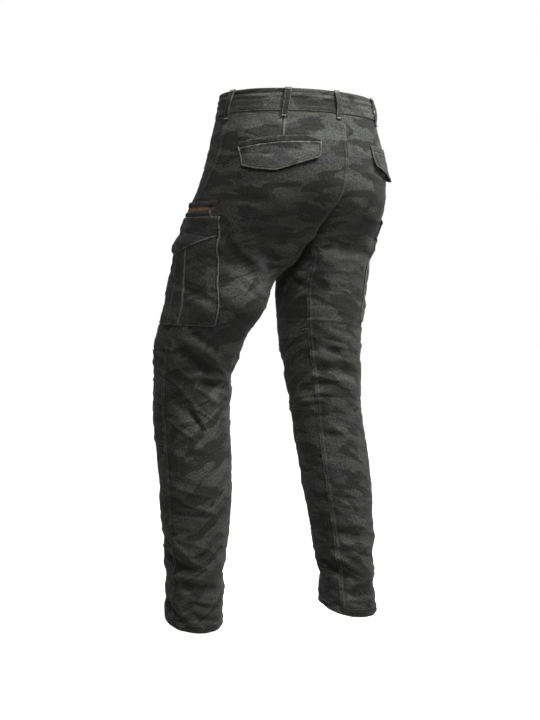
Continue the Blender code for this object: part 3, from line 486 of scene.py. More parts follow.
@dataclass(frozen=True)
class Half:
    """One half of the garment in its worn form, with every crease that its cloth takes."""

    side: Side
    broad: Ripple = Ripple(11, (0.100, 0.100, 0.046), 0.0022)
    ridges: Ripple = Ripple(12, (0.085, 0.085, 0.026), 1.0)
    creases: Ripple = Ripple(14, (0.060, 0.060, 0.017), 1.0)
    small: Ripple = Ripple(13, (0.022, 0.022, 0.008), 0.00045)

    def form(self, z: Array, phi: Array) -> Array:
        """Outer face without creases, x counted outward from the centre seam.

        Args:
            z: Heights.
            phi: Angles round the half's oval, in radians.

        Returns:
            Points, with x, y and z last.
        """
        z, phi = np.broadcast_arrays(np.asarray(z, float), np.asarray(phi, float))
        trunk = z >= CROTCH_Z
        high = np.maximum(z, CROTCH_Z)
        low = np.minimum(z, CROTCH_Z)
        stance = STANCE[self.side]
        turned = np.sin(np.radians(along(TRUNK, "closing", high)))
        outer = along(TRUNK, "half_width", high)
        fill = along(stance, "fill", z)
        centre_x = np.where(trunk, outer * turned / (1 + turned), along(stance, "centre_x", low))
        half_width = np.where(trunk, outer / (1 + turned), along(LEG, "half_width", low))
        front = np.where(trunk, along(TRUNK, "front_depth", high), along(LEG, "front_depth", low))
        back = np.where(trunk, along(TRUNK, "back_depth", high), along(LEG, "back_depth", low))
        x = centre_x + half_width * np.cos(phi)
        hold = smoothstep(np.abs(x) / HOLD_WIDTH)
        reach = np.where(np.sin(phi) < 0, front, back) * np.sin(phi)
        reach = reach * np.where(trunk, 1.0 + (fill - 1.0) * hold, fill)
        free = smoothstep((CROTCH_Z - z) / FREE_LENGTH)
        shift = along(stance, "swing", z) * (hold + (1.0 - hold) * free)
        y = along(TRUNK, "centre_y", high) + reach + shift
        roll = HIP_ROLL * (1.0 - smoothstep(z / CROTCH_Z))
        height = z + along(stance, "tilt", z) * reach + roll * self.side.sign * x
        return np.stack([x + HALF_GAP, y, height], axis=-1)

    def normals(self, z: Array, phi: Array) -> Array:
        """Unit normals of the form, in the half's own frame."""
        around = self.form(z, phi + ANGLE_STEP) - self.form(z, phi - ANGLE_STEP)
        rising = self.form(z + HEIGHT_STEP, phi) - self.form(z - HEIGHT_STEP, phi)
        normals = np.cross(around, rising)
        return normals / np.linalg.norm(normals, axis=-1, keepdims=True)

    def speed(self, z: Array, phi: Array) -> Array:
        """Distance round the oval for each radian of angle."""
        around = self.form(z, phi + ANGLE_STEP) - self.form(z, phi - ANGLE_STEP)
        return np.linalg.norm(around, axis=-1) / (2.0 * ANGLE_STEP)

    def side_seam(self, z: Array) -> Array:
        """Angle of the side seam, in radians."""
        return np.radians(along(STANCE[self.side], "outseam", z))

    def inner_seam(self, z: Array) -> Array:
        """Angle of the centre back seam, and of the inseam below the crotch, in radians."""
        centre = 90.0 + along(TRUNK, "closing", np.maximum(z, CROTCH_Z))
        inseam = along(STANCE[self.side], "inseam", np.minimum(z, CROTCH_Z))
        return np.radians(np.where(z > CROTCH_Z, centre, inseam))

    def walk(self, z: Array, start: Array, distance: Array, steps: int = 12) -> Array:
        """Angle reached by walking round the cloth.

        Args:
            z: Heights to walk at.
            start: Angles to start from, in radians.
            distance: Distances to go, towards the back if positive.
            steps: Number of straight steps.

        Returns:
            The angles reached.
        """
        phi = start + 0.0 * distance
        for _ in range(steps):
            phi = phi + distance / steps / self.speed(z, phi)
        return phi

    def folds(self, z: Array, phi: Array) -> Array:
        """How far the listed creases move the cloth out."""
        total = np.zeros(np.broadcast(z, phi).shape)
        for fold in FOLDS[self.side]:
            middle = math.radians(fold.angle)
            away = (phi - middle + math.pi) % (2.0 * math.pi) - math.pi
            round_it = away * self.speed(np.array(fold.z), np.array(middle))
            drop = fold.z - z
            fall = math.radians(fold.fall)
            length = round_it * math.cos(fall) + drop * math.sin(fall)
            width = drop * math.cos(fall) - round_it * math.sin(fall)
            taper = np.exp(-((length / fold.half_length) ** 4))
            total = total + fold.height * taper * bell(width, fold.spread)
        return total

    def relief(self, z: Array, phi: Array) -> Array:
        """How far every crease and unevenness moves the cloth out of the form."""
        points = self.form(z, phi) * np.array([self.side.sign, 1.0, 1.0])
        zones = ZONES[self.side]
        fall = [-zone.z for zone in zones]
        lean = np.interp(-z, fall, [zone.lean for zone in zones])
        crush = np.interp(-z, fall, [zone.crush for zone in zones])
        points[..., 2] += lean * LEG_RADIUS * (np.sin(phi) - np.cos(phi))
        ridge = np.exp(-((self.ridges.at(points) / 0.16) ** 2)) - 0.35
        crease = 0.35 - np.exp(-((self.creases.at(points) / 0.15) ** 2))
        uneven = self.broad.at(points) * (0.4 + 0.6 * crush) + self.small.at(points)
        return self.folds(z, phi) + uneven + crush * (0.0019 * ridge + 0.0014 * crease)

    def place(self, z: Array, phi: Array, lift: Array) -> Array:
        """Points moved out of the form by a distance, in the garment's frame."""
        points = self.form(z, phi) + self.normals(z, phi) * np.asarray(lift)[..., None]
        return points * np.array([self.side.sign, 1.0, 1.0])


def knee_rise(s: Array, phi: Array) -> Array:
    """How much higher the knee seams run near the inseam than at the side seam."""
    lower = LOWER_RISE * bell(s - KNEE_BOTTOM_Z, LOWER_RISE_REACH) * (1.0 - np.cos(phi)) / 2.0
    away = np.abs((phi - UPPER_RISE_MIDDLE + math.pi) % (2.0 * math.pi) - math.pi)
    turned = smoothstep(1.0 - away / UPPER_RISE_OVER)
    return lower + UPPER_RISE * bell(s - KNEE_TOP_Z, UPPER_RISE_REACH) * turned


def ticks(
    length: float, step: float, first: Sequence[float] = (0.0,), last: Sequence[float] = (0.0,)
) -> Array:
    """Mesh lines across a length, close together near its edges.

    Args:
        length: Whole length.
        step: Largest distance between lines in the middle.
        first: Distances of the first lines from the start.
        last: Distances of the last lines from the end.

    Returns:
        Rising distances from 0 to the length.
    """
    start, end = first[-1], length - last[-1]
    count = max(2, int(math.ceil((end - start) / step)))
    middle = np.linspace(start, end, count + 1)[1:-1]
    return np.concatenate([first, middle, length - np.array(last)[::-1]])


def wander(place: Array, cell: float, seed: int) -> Array:
    """Smooth random line between -1 and 1 along a distance, with one value for each cell."""
    values = np.random.default_rng(seed).uniform(-1.0, 1.0, 997)
    at = np.asarray(place) / cell
    low = np.floor(at).astype(int)
    share = smoothstep(at - low)
    return values[low % 997] * (1.0 - share) + values[(low + 1) % 997] * share


def path_length(points: Array, axis: int) -> Array:
    """Distance along a grid of points from its first row or column."""
    steps = np.linalg.norm(np.diff(points, axis=axis), axis=-1)
    before = np.zeros_like(np.take(steps, [0], axis=axis))
    return np.concatenate([before, np.cumsum(steps, axis=axis)], axis=axis)


def blurred(values: Array, passes: int) -> Array:
    """Grid of values with its small changes evened out."""
    for _ in range(passes):
        padded = np.pad(values, 1, mode="edge")
        values = (padded[:-2, 1:-1] + padded[2:, 1:-1] + padded[1:-1, :-2] + padded[1:-1, 2:]) / 4.0
    return values


class Sewing(NamedTuple):
    """How the four edges of a cut are sewn."""

    first: Edge
    last: Edge
    top: Edge
    bottom: Edge


@dataclass
class Cloth:
    """A cut of cloth as a closed shell of its real thickness, on a grid of rows down and columns across."""

    name: str
    half: Half
    z: Array
    phi: Array
    lift: Array
    thickness: float = CLOTH
    own_relief: Array | float = 0.0
    sewing: Sewing = Sewing(Edge.PLAIN, Edge.PLAIN, Edge.PLAIN, Edge.PLAIN)
    shares: tuple[Array | float, Array | float, Array | float, Array | float] = (1.0, 1.0, 1.0, 1.0)
    seed: int = 1
    ring: bool = False
    grain_turn: float = 0.0
    # Pale wear at the edges with a band of painted shade inside them, and the cut's own wear and painted
    # shade.
    edge_wear: float = 0.0
    own_wear_and_shade: Array | float = 0.0
    points: Array = field(init=False)
    across: Array = field(init=False)
    down: Array = field(init=False)
    flat: tuple[float, float] = field(init=False)
    area: float = field(init=False)

    def edge_distances(self) -> tuple[Array, Array, Array, Array]:
        """Distances of every grid point from the first, last, top and bottom edge."""
        form = self.half.place(self.z, self.phi, np.zeros_like(self.z))
        across = path_length(form, 1)
        down = path_length(form, 0)
        self.flat = (float(across[:, -1].max()), float(down[-1].max()))
        cells = (across[:-1, 1:] - across[:-1, :-1]) * (down[1:, :-1] - down[:-1, :-1])
        self.area = float(cells.sum())
        return across, across[:, -1:] - across, down, down[-1:] - down

    def seam(self, distance: Array, edge: Edge, run: Array, seed: int) -> tuple[Array, Array]:
        """Raised edge and puckers along one edge.

        Args:
            distance: Distance from the edge.
            edge: How it is sewn.
            run: Distance along the edge.
            seed: Choice of puckers.

        Returns:
            How far the seam moves the cloth out, and its pale wear with painted shade in its groove.
        """
        if edge is Edge.PLAIN:
            return np.zeros_like(distance), np.zeros_like(distance)
        fade = np.exp(-((distance / 0.015) ** 2))
        pucker = wander(run, 0.0052, seed) * (0.6 + 0.4 * wander(run, 0.045, seed + 1))
        if edge is Edge.TUCKED:
            sunk = -0.0003 * np.exp(-distance / 0.0012)
            # The tucked seam's groove gets a painted shade line.
            return sunk + 0.00028 * pucker * fade, -0.9 * np.exp(-distance / 0.0018)
        rise = smoothstep(distance / 0.0008 + 0.45) - smoothstep((distance - 0.0078) / 0.0022)
        rows = bell(distance - 0.0018, 0.0009) + bell(distance - 0.0072, 0.0009)
        rope = wander(run, 0.0040, seed + 2) * smoothstep(1.0 - distance / 0.010)
        shape = FELL_HEIGHT * rise - 0.00022 * rows + 0.00022 * rope * rise
        # Pale wear on the fell's edge and its outer row, and painted shade in the dip beyond the fell.
        worn = 1.1 * bell(distance - 0.0004, 0.0013) + 0.45 * bell(distance - 0.0082, 0.0013)
        worn = worn * (0.65 + 0.5 * wander(run, 0.006, seed + 3)) - 0.55 * bell(distance - 0.0108, 0.0016)
        return shape + 0.00048 * pucker * fade, worn

    def build(self, finish: bpy.types.Material) -> bpy.types.Object:
        """Make the shell and its attributes.

        Args:
            finish: Material of the cloth.

        Returns:
            The new object.
        """
        first, last, top, bottom = self.edge_distances()
        relief = self.half.relief(self.z, self.phi) + self.own_relief
        wear_and_shade = np.zeros_like(relief) + self.own_wear_and_shade
        edges = (
            (first, self.sewing.first, top, 3, self.shares[0]),
            (last, self.sewing.last, top, 7, self.shares[1]),
            (top, self.sewing.top, first, 13, self.shares[2]),
            (bottom, self.sewing.bottom, first, 17, self.shares[3]),
        )
        for distance, edge, run, seed, share in edges:
            # Each seam adds its pale wear and its painted shade.
            shape, worn = self.seam(distance, edge, run, 31 * self.seed + seed)
            relief = relief + shape * share
            wear_and_shade = wear_and_shade + worn * share
        # Fold crests turn pale like worn cloth; fold troughs get painted shade, deepest in the creases.
        ridge = (relief - blurred(relief, 14)) / 0.0011
        wear_and_shade = wear_and_shade + np.clip(ridge, -2.4, 0.9) * 0.45
        nearest = np.minimum(top, bottom) if self.ring else np.minimum.reduce([first, last, top, bottom])
        # Pale chafed edges, and a band of painted shade in the dip just inside them.
        if self.edge_wear:
            chafe = 0.7 + 0.5 * wander(first + top, 0.0045, self.seed + 5)
            wear_and_shade = wear_and_shade + self.edge_wear * chafe * bell(nearest - 0.0006, 0.0016)
            wear_and_shade = wear_and_shade - 0.5 * self.edge_wear * bell(nearest - 0.0042, 0.0014)
        radius = 0.42 * self.thickness
        turn = 1.0 - np.clip(nearest / radius, 0.0, 1.0)
        rim = radius * (1.0 - np.sqrt(1.0 - turn**2))
        outer = self.half.place(self.z, self.phi, relief + self.lift + self.thickness - rim)
        inner = self.half.place(self.z, self.phi, relief + self.lift + rim)
        self.points = outer
        self.across = path_length(outer, 1)
        self.down = path_length(outer, 0)
        shift = 0.37 * self.seed
        cosine, sine = math.cos(self.grain_turn), math.sin(self.grain_turn)
        cut_u = first * cosine - top * sine + shift
        cut_v = first * sine + top * cosine + 0.61 * self.seed
        cut = np.stack([cut_u, cut_v, np.full_like(first, 0.13 * self.seed)], axis=-1)
        flip = self.half.side is Side.RIGHT
        shell = closed_shell(self.name, outer, inner, self.ring, flip)
        attach(shell, "cut", np.concatenate([cut.reshape(-1, 3)] * 2))
        # The outer face carries the wear and painted shade; the inner face gets an even painted shade.
        attach(shell, "wear_and_shade", np.concatenate([wear_and_shade.ravel(), np.full(wear_and_shade.size, -0.2)]))
        return new_object(self.name, shell, finish)

    def sample(self, rows: Array, columns: Array) -> tuple[Array, Array]:
        """Points and outward normals at places between the grid's lines.

        Args:
            rows: Row numbers, which may lie between two rows.
            columns: Column numbers, which may lie between two columns.

        Returns:
            The points and the unit normals.
        """
        last_row, last_column = self.points.shape[0] - 2, self.points.shape[1] - 2
        i = np.clip(np.floor(rows).astype(int), 0, last_row)
        j = np.clip(np.floor(columns).astype(int), 0, last_column)
        a, b = (rows - i)[..., None], (columns - j)[..., None]
        grid = self.points
        upper = grid[i, j] * (1 - b) + grid[i, j + 1] * b
        lower = grid[i + 1, j] * (1 - b) + grid[i + 1, j + 1] * b
        across = grid[i, j + 1] - grid[i, j]
        down = grid[i + 1, j] - grid[i, j]
        normal = np.cross(down, across) * self.half.side.sign
        normal /= np.linalg.norm(normal, axis=-1, keepdims=True)
        return upper * (1 - a) + lower * a, normal

    def beside(self, edge: str, distance: float, start: float = 0.0, end: float = 0.0) -> tuple[Array, Array]:
        """Line on the cloth at a distance from one edge.

        Args:
            edge: "first", "last", "top" or "bottom".
            distance: How far inside the edge the line runs.
            start: Length left out at its beginning.
            end: Length left out at its end.

        Returns:
            Points and normals along the line.
        """
        vertical = edge in ("first", "last")
        measure = self.across if vertical else self.down.T
        count = measure.shape[0]
        number = np.arange(measure.shape[1], dtype=float)
        found = []
        for line in range(count):
            total = measure[line, -1]
            place = distance if edge in ("first", "top") else total - distance
            found.append(np.interp(place, measure[line], number))
        lines = np.arange(count, dtype=float)
        at = np.array(found)
        points, normals = self.sample(lines, at) if vertical else self.sample(at, lines)
        run = path_length(points[None], 1)[0]
        keep = (run >= start) & (run <= run[-1] - end)
        return points[keep], normals[keep]


def closed_shell(name: str, outer: Array, inner: Array, ring: bool, flip: bool) -> bpy.types.Mesh:
    """Closed wall between an outer and an inner grid of points.

    Args:
        name: Name of the mesh.
        outer: Outer points, as rows down and columns round.
        inner: Inner points on the same rows and columns.
        ring: Whether the last column joins the first.
        flip: Whether the faces turn the other way, as on the mirrored half.

    Returns:
        The mesh, smooth and facing out.
    """
    rows, columns = outer.shape[:2]
    inside = rows * columns
    last = columns if ring else columns - 1
    row, column = np.meshgrid(np.arange(rows - 1), np.arange(last), indexing="ij")
    a = (row * columns + column).ravel()
    b = (row * columns + (column + 1) % columns).ravel()
    c, d = b + columns, a + columns
    faces = [np.stack([a, d, c, b], 1), inside + np.stack([a, b, c, d], 1)]
    top = np.arange(last)
    top_next = (top + 1) % columns
    low, low_next = top + inside - columns, top_next + inside - columns
    faces.append(np.stack([top, top_next, inside + top_next, inside + top], 1))
    faces.append(np.stack([low_next, low, inside + low, inside + low_next], 1))
    if not ring:
        left = np.arange(rows - 1) * columns
        right = left + columns - 1
        faces.append(np.stack([left, inside + left, inside + left + columns, left + columns], 1))
        faces.append(np.stack([right, right + columns, inside + right + columns, inside + right], 1))
    every = np.concatenate(faces)
    if flip:
        every = every[:, ::-1]
    return mesh_from(name, np.concatenate([outer.reshape(-1, 3), inner.reshape(-1, 3)]), every)


def mesh_from(name: str, points: Array, faces: Array, smooth: bool = True) -> bpy.types.Mesh:
    """Mesh from points and faces that all have the same number of corners."""
    mesh = bpy.data.meshes.new(name)
    mesh.from_pydata(points.tolist(), [], faces.tolist())
    mesh.validate()
    if smooth:
        mesh.shade_smooth()
    return mesh


def attach(mesh: bpy.types.Mesh, name: str, values: Array) -> None:
    """Store one number or one vector for each point of a mesh."""
    kind = "FLOAT" if values.ndim == 1 else "FLOAT_VECTOR"
    key = "value" if values.ndim == 1 else "vector"
    layer = mesh.attributes.new(name, kind, "POINT")
    layer.data.foreach_set(key, np.asarray(values, np.float32).ravel())


def new_object(name: str, mesh: bpy.types.Mesh, finish: bpy.types.Material) -> bpy.types.Object:
    """Object for a mesh, with its finish, in the scene."""
    mesh.materials.append(finish)
    made = bpy.data.objects.new(name, mesh)
    bpy.context.scene.collection.objects.link(made)
    return made


@dataclass
class Thread:
    """Stitches gathered for one piece: a small closed bead for each, lying in the cloth."""

    name: str
    pitch: float = 0.0033
    length: float = 0.0025
    width: float = 0.00062
    height: float = 0.00040
    beads: list[Array] = field(default_factory=list)

    def bead(self, middle: Array, along_it: Array, normal: Array, length: float, width: float) -> None:
        """Add stitches at given places.

        Args:
            middle: Middle points.
            along_it: Directions of the thread.
            normal: Outward normals.
            length: Length of a stitch.
            width: Width of a stitch.
        """
        along_it = along_it / np.linalg.norm(along_it, axis=-1, keepdims=True)
        side = np.cross(normal, along_it)
        rise = normal * self.height
        ends = along_it * (length / 2)
        shoulder = along_it * (length * 0.27)
        half = side * (width / 2)
        sunk = normal * 0.00015
        corners = [
            middle - ends - sunk,
            middle - shoulder + half,
            middle - shoulder + rise,
            middle - shoulder - half,
            middle - shoulder - rise,
            middle + shoulder + half,
            middle + shoulder + rise,
            middle + shoulder - half,
            middle + shoulder - rise,
            middle + ends - sunk,
        ]
        self.beads.append(np.stack(corners, axis=1))

    def row(self, line: tuple[Array, Array]) -> None:
        """Sew a row of stitches along a line of points and normals."""
        points, normals = line
        if len(points) < 2:
            return
        run = path_length(points[None], 1)[0]
        count = int(run[-1] / self.pitch)
        if count < 1:
            return
        at = (np.arange(count) + 0.5) * run[-1] / count
        middle = np.stack([np.interp(at, run, points[:, k]) for k in range(3)], 1)
        ahead = np.stack([np.interp(at + 0.0008, run, points[:, k]) for k in range(3)], 1)
        behind = np.stack([np.interp(at - 0.0008, run, points[:, k]) for k in range(3)], 1)
        normal = np.stack([np.interp(at, run, normals[:, k]) for k in range(3)], 1)
        normal /= np.linalg.norm(normal, axis=-1, keepdims=True)
        self.bead(middle, ahead - behind, normal, self.length, self.width)

    def tack(self, middle: Array, along_it: Array, normal: Array, length: float, width: float) -> None:
        """Sew a bar tack: a dense row of threads across a short bar."""
        along_it = along_it / np.linalg.norm(along_it)
        across = np.cross(normal, along_it)
        count = max(6, int(length / 0.0007))
        at = np.linspace(-length / 2, length / 2, count)[:, None]
        lean = (0.12 * width * (-1.0) ** np.arange(count))[:, None]
        places = middle + along_it * at + across * lean
        lift = normal * 0.00025
        normals = np.repeat(normal[None], count, 0)
        self.bead(places + lift, np.repeat(across[None], count, 0) + along_it * 0.18, normals, width, 0.00075)

    def build(self, finish: bpy.types.Material) -> bpy.types.Object:
        """Make one mesh of all the stitches."""
        beads = np.concatenate(self.beads)
        ring = [1, 2, 3, 4]
        sides = [5, 6, 7, 8]
        faces = []
        for k in range(4):
            after = (k + 1) % 4
            faces.append((0, ring[after], ring[k]))
            faces.append((ring[k], ring[after], sides[after]))
            faces.append((ring[k], sides[after], sides[k]))
            faces.append((9, sides[k], sides[after]))
        base = 10 * np.arange(len(beads))[:, None, None]
        every = (np.array(faces)[None] + base).reshape(-1, 3)
        return new_object(self.name, mesh_from(self.name, beads.reshape(-1, 3), every), finish)


class Shader:
    """Node tree of one material, built a node at a time."""

    def __init__(self, name: str) -> None:
        """Start a material with a Principled shader."""
        self.material = bpy.data.materials.new(name)
        self.material.use_nodes = True
        self.tree = self.material.node_tree
        self.principled = self.tree.nodes["Principled BSDF"]

    def put(self, socket: Any, value: Any) -> None:
        """Set a socket from another socket or from a constant."""
        if isinstance(value, bpy.types.NodeSocket):
            self.tree.links.new(value, socket)
        elif isinstance(value, tuple) and len(value) == 3 and socket.type == "RGBA":
            socket.default_value = (*value, 1.0)
        else:
            socket.default_value = value

    def node(
        self, kind: str, output: int | str = 0, settings: dict[str, Any] | None = None, **inputs: Any
    ) -> Any:
        """Add a node.

        Args:
            kind: Blender's name of the node type.
            output: Number or name of the output to hand back.
            settings: Properties of the node itself.
            inputs: Values of its sockets by name, with _ for a space, or in0, in1 and so on.

        Returns:
            The chosen output socket.
        """
        made = self.tree.nodes.new(kind)
        for key, value in (settings or {}).items():
            setattr(made, key, value)
        for key, value in inputs.items():
            place = int(key[2:]) if key[:2] == "in" and key[2:].isdigit() else key.replace("_", " ")
            self.put(made.inputs[place], value)
        return made.outputs[output]

    def math(self, operation: str, a: Any, b: Any, clamp: bool = False) -> Any:
        """Sum, product or other result of two numbers."""
        return self.node("ShaderNodeMath", 0, {"operation": operation, "use_clamp": clamp}, in0=a, in1=b)

    def vector(self, operation: str, a: Any, b: Any = (0.0, 0.0, 0.0)) -> Any:
        """Sum, product or other result of two vectors."""
        return self.node("ShaderNodeVectorMath", 0, {"operation": operation}, in0=a, in1=b)

    def noise(self, place: Any, scale: float, detail: float = 2.0, rough: float = 0.5) -> Any:
        """Smooth noise at a place, about 0.5."""
        return self.node(
            "ShaderNodeTexNoise", "Fac", Vector=place, Scale=scale, Detail=detail, Roughness=rough
        )

    def ramp(self, value: Any, low: float, high: float, to_low: float = 0.0, to_high: float = 1.0) -> Any:
        """Value mapped from one range to another, with smooth and clamped ends."""
        return self.node(
            "ShaderNodeMapRange",
            0,
            {"interpolation_type": "SMOOTHSTEP"},
            Value=value,
            From_Min=low,
            From_Max=high,
            To_Min=to_low,
            To_Max=to_high,
        )

    def mix(self, share: Any, a: Any, b: Any, blend: str = "MIX") -> Any:
        """Mix of two colours."""
        settings = {"data_type": "RGBA", "blend_type": blend}
        return self.node("ShaderNodeMix", 2, settings, in0=share, in6=a, in7=b)

    def shaded(self, colour: Any, tone: Any) -> Any:
        """Colour made lighter or darker by a number."""
        grey = self.node("ShaderNodeCombineColor", 0, None, Red=tone, Green=tone, Blue=tone)
        return self.mix(1.0, colour, grey, "MULTIPLY")

    def attribute(self, name: str, output: str) -> Any:
        """Value stored on the mesh."""
        return self.node("ShaderNodeAttribute", output, {"attribute_name": name})

    def finish(self, **inputs: Any) -> bpy.types.Material:
        """Set the Principled shader's sockets and hand back the material."""
        for key, value in inputs.items():
            self.put(self.principled.inputs[key.replace("_", " ")], value)
        return self.material


@dataclass(frozen=True)
class CamoCotton:
    """Garment-dyed cotton twill with a mottled print of soft patches, worn pale on its ridges and edges, with
    painted shade in its creases, grooves and seam gaps.
    """

    name: str = "camo_cotton_twill"
    ground: tuple[float, float, float] = (0.0395, 0.0400, 0.0372)
    dark: tuple[float, float, float] = (0.0185, 0.0190, 0.0178)
    olive: tuple[float, float, float] = (0.0490, 0.0505, 0.0445)
    slate: tuple[float, float, float] = (0.0420, 0.0415, 0.0445)
    pale: tuple[float, float, float] = (0.0620, 0.0645, 0.0590)
    worn: tuple[float, float, float] = (0.235, 0.237, 0.225)
    patch: tuple[float, float] = (0.086, 0.036)
    twill: float = 0.0010

    def build(self) -> bpy.types.Material:
        """Make the material."""
        s = Shader(self.name)
        cut = s.attribute("cut", "Vector")
        wear_and_shade = s.attribute("wear_and_shade", "Fac")
        place = s.vector("MULTIPLY", cut, (1.0 / self.patch[0], 1.0 / self.patch[1], 11.0))
        drift = s.node("ShaderNodeTexNoise", "Color", Vector=place, Scale=1.6, Detail=2.0, Roughness=0.5)
        drift = s.vector("MULTIPLY", s.vector("SUBTRACT", drift, (0.5, 0.5, 0.5)), (1.0, 0.8, 0.0))
        place = s.vector("ADD", place, drift)
        colour: Any = self.ground
        layers = (
            (self.olive, 0.0, 0.90, 0.50, 1.0),
            (self.dark, 7.3, 0.90, 0.525, 0.95),
            (self.slate, 15.1, 1.15, 0.585, 0.8),
            (self.pale, 23.7, 1.30, 0.575, 0.85),
            (self.dark, 31.9, 1.6, 0.590, 0.9),
        )
        for tone, offset, scale, level, strength in layers:
            value = s.noise(s.vector("ADD", place, (offset, offset * 0.7, offset)), scale, 1.2, 0.35)
            share = s.ramp(value, level - 0.012, level + 0.012, 0.0, strength)
            colour = s.mix(share, colour, tone)
        grain = s.ramp(s.noise(cut, 300.0, 3.0, 0.8), 0.34, 0.66, 0.42, 1.66)
        drawn = s.vector("MULTIPLY", cut, (1.0, 2.4, 1.0))
        fibre = s.ramp(s.noise(drawn, 1150.0, 2.0, 0.6), 0.3, 0.7, 0.80, 1.22)
        fade = s.ramp(s.noise(cut, 9.0, 3.0, 0.6), 0.3, 0.7, 0.86, 1.14)
        tone = s.math("MULTIPLY", s.math("MULTIPLY", grain, fibre), fade)
        colour = s.shaded(colour, tone)
        speck = s.ramp(s.noise(cut, 700.0, 2.0, 0.6), 0.38, 0.66)
        uneven = s.math("ADD", s.math("MULTIPLY", speck, 0.75), 0.25)
        rub = s.math("MULTIPLY", s.ramp(wear_and_shade, 0.02, 1.70), uneven)
        colour = s.mix(rub, colour, self.worn)
        # Painted shade: where the attribute is negative the colour darkens, in creases, grooves, seam gaps
        # and on the inner faces.
        shade = s.ramp(wear_and_shade, -1.1, 0.0, 0.40, 1.0)
        colour = s.shaded(colour, shade)
        turned = s.node("ShaderNodeMapping", 0, None, Vector=cut, Rotation=(0.0, 0.0, math.radians(58)))
        twill = s.node(
            "ShaderNodeTexWave",
            "Fac",
            {"wave_type": "BANDS", "bands_direction": "X"},
            Vector=turned,
            Scale=0.31416 / self.twill,
            Distortion=1.2,
            Detail=2.0,
        )
        nap = s.math("ADD", s.math("MULTIPLY", twill, 0.5), s.noise(cut, 900.0, 2.0, 0.6))
        bump = s.node("ShaderNodeBump", 0, None, Strength=0.35, Distance=0.0006, Height=nap)
        rough = s.ramp(rub, 0.0, 1.0, 0.93, 0.82)
        return s.finish(
            Base_Color=colour,
            Roughness=rough,
            Normal=bump,
            Specular_IOR_Level=0.22,
            Sheen_Weight=0.06,
            Sheen_Roughness=0.5,
        )


@dataclass(frozen=True)
class SewingThread:
    """Matt sewing thread, twisted and a little faded."""

    name: str = "sewing_thread"
    colour: tuple[float, float, float] = (0.190, 0.191, 0.181)
    dirty: tuple[float, float, float] = (0.060, 0.061, 0.057)

    def build(self) -> bpy.types.Material:
        """Make the material."""
        s = Shader(self.name)
        place = s.node("ShaderNodeTexCoord", "Object")
        share = s.ramp(s.noise(place, 240.0, 2.0, 0.6), 0.35, 0.70)
        twist = s.node("ShaderNodeTexWave", "Fac", None, Vector=place, Scale=900.0, Distortion=2.0)
        bump = s.node("ShaderNodeBump", 0, None, Strength=0.3, Distance=0.0001, Height=twist)
        return s.finish(Base_Color=s.mix(share, self.dirty, self.colour), Roughness=0.85, Normal=bump)


@dataclass(frozen=True)
class ZipTape:
    """Woven tape of the zip, brown and close."""

    name: str = "zip_tape_weave"
    colour: tuple[float, float, float] = (0.030, 0.022, 0.018)
    light: tuple[float, float, float] = (0.060, 0.044, 0.036)

    def build(self) -> bpy.types.Material:
        """Make the material."""
        s = Shader(self.name)
        cut = s.attribute("cut", "Vector")
        weave = s.node(
            "ShaderNodeTexWave", "Fac", {"bands_direction": "Y"}, Vector=cut, Scale=420.0, Distortion=1.0
        )
        share = s.math("MULTIPLY", weave, s.ramp(s.noise(cut, 600.0), 0.3, 0.7), True)
        bump = s.node("ShaderNodeBump", 0, None, Strength=0.4, Distance=0.0003, Height=weave)
        return s.finish(Base_Color=s.mix(share, self.colour, self.light), Roughness=0.8, Normal=bump)


@dataclass(frozen=True)
class Metal:
    """Metal of the zips and the waist button, dulled and rubbed."""

    name: str
    colour: tuple[float, float, float]
    tarnish: tuple[float, float, float]
    roughness: float

    def build(self) -> bpy.types.Material:
        """Make the material."""
        s = Shader(self.name)
        place = s.node("ShaderNodeTexCoord", "Object")
        cloud = s.ramp(s.noise(place, 260.0, 3.0, 0.6), 0.35, 0.65)
        scratch = s.noise(s.vector("MULTIPLY", place, (1.0, 1.0, 9.0)), 900.0, 2.0, 0.7)
        bump = s.node("ShaderNodeBump", 0, None, Strength=0.2, Distance=0.0001, Height=scratch)
        rough = s.ramp(cloud, 0.0, 1.0, self.roughness + 0.18, self.roughness)
        colour = s.mix(cloud, self.tarnish, self.colour)
        return s.finish(Base_Color=colour, Metallic=1.0, Roughness=rough, Normal=bump)


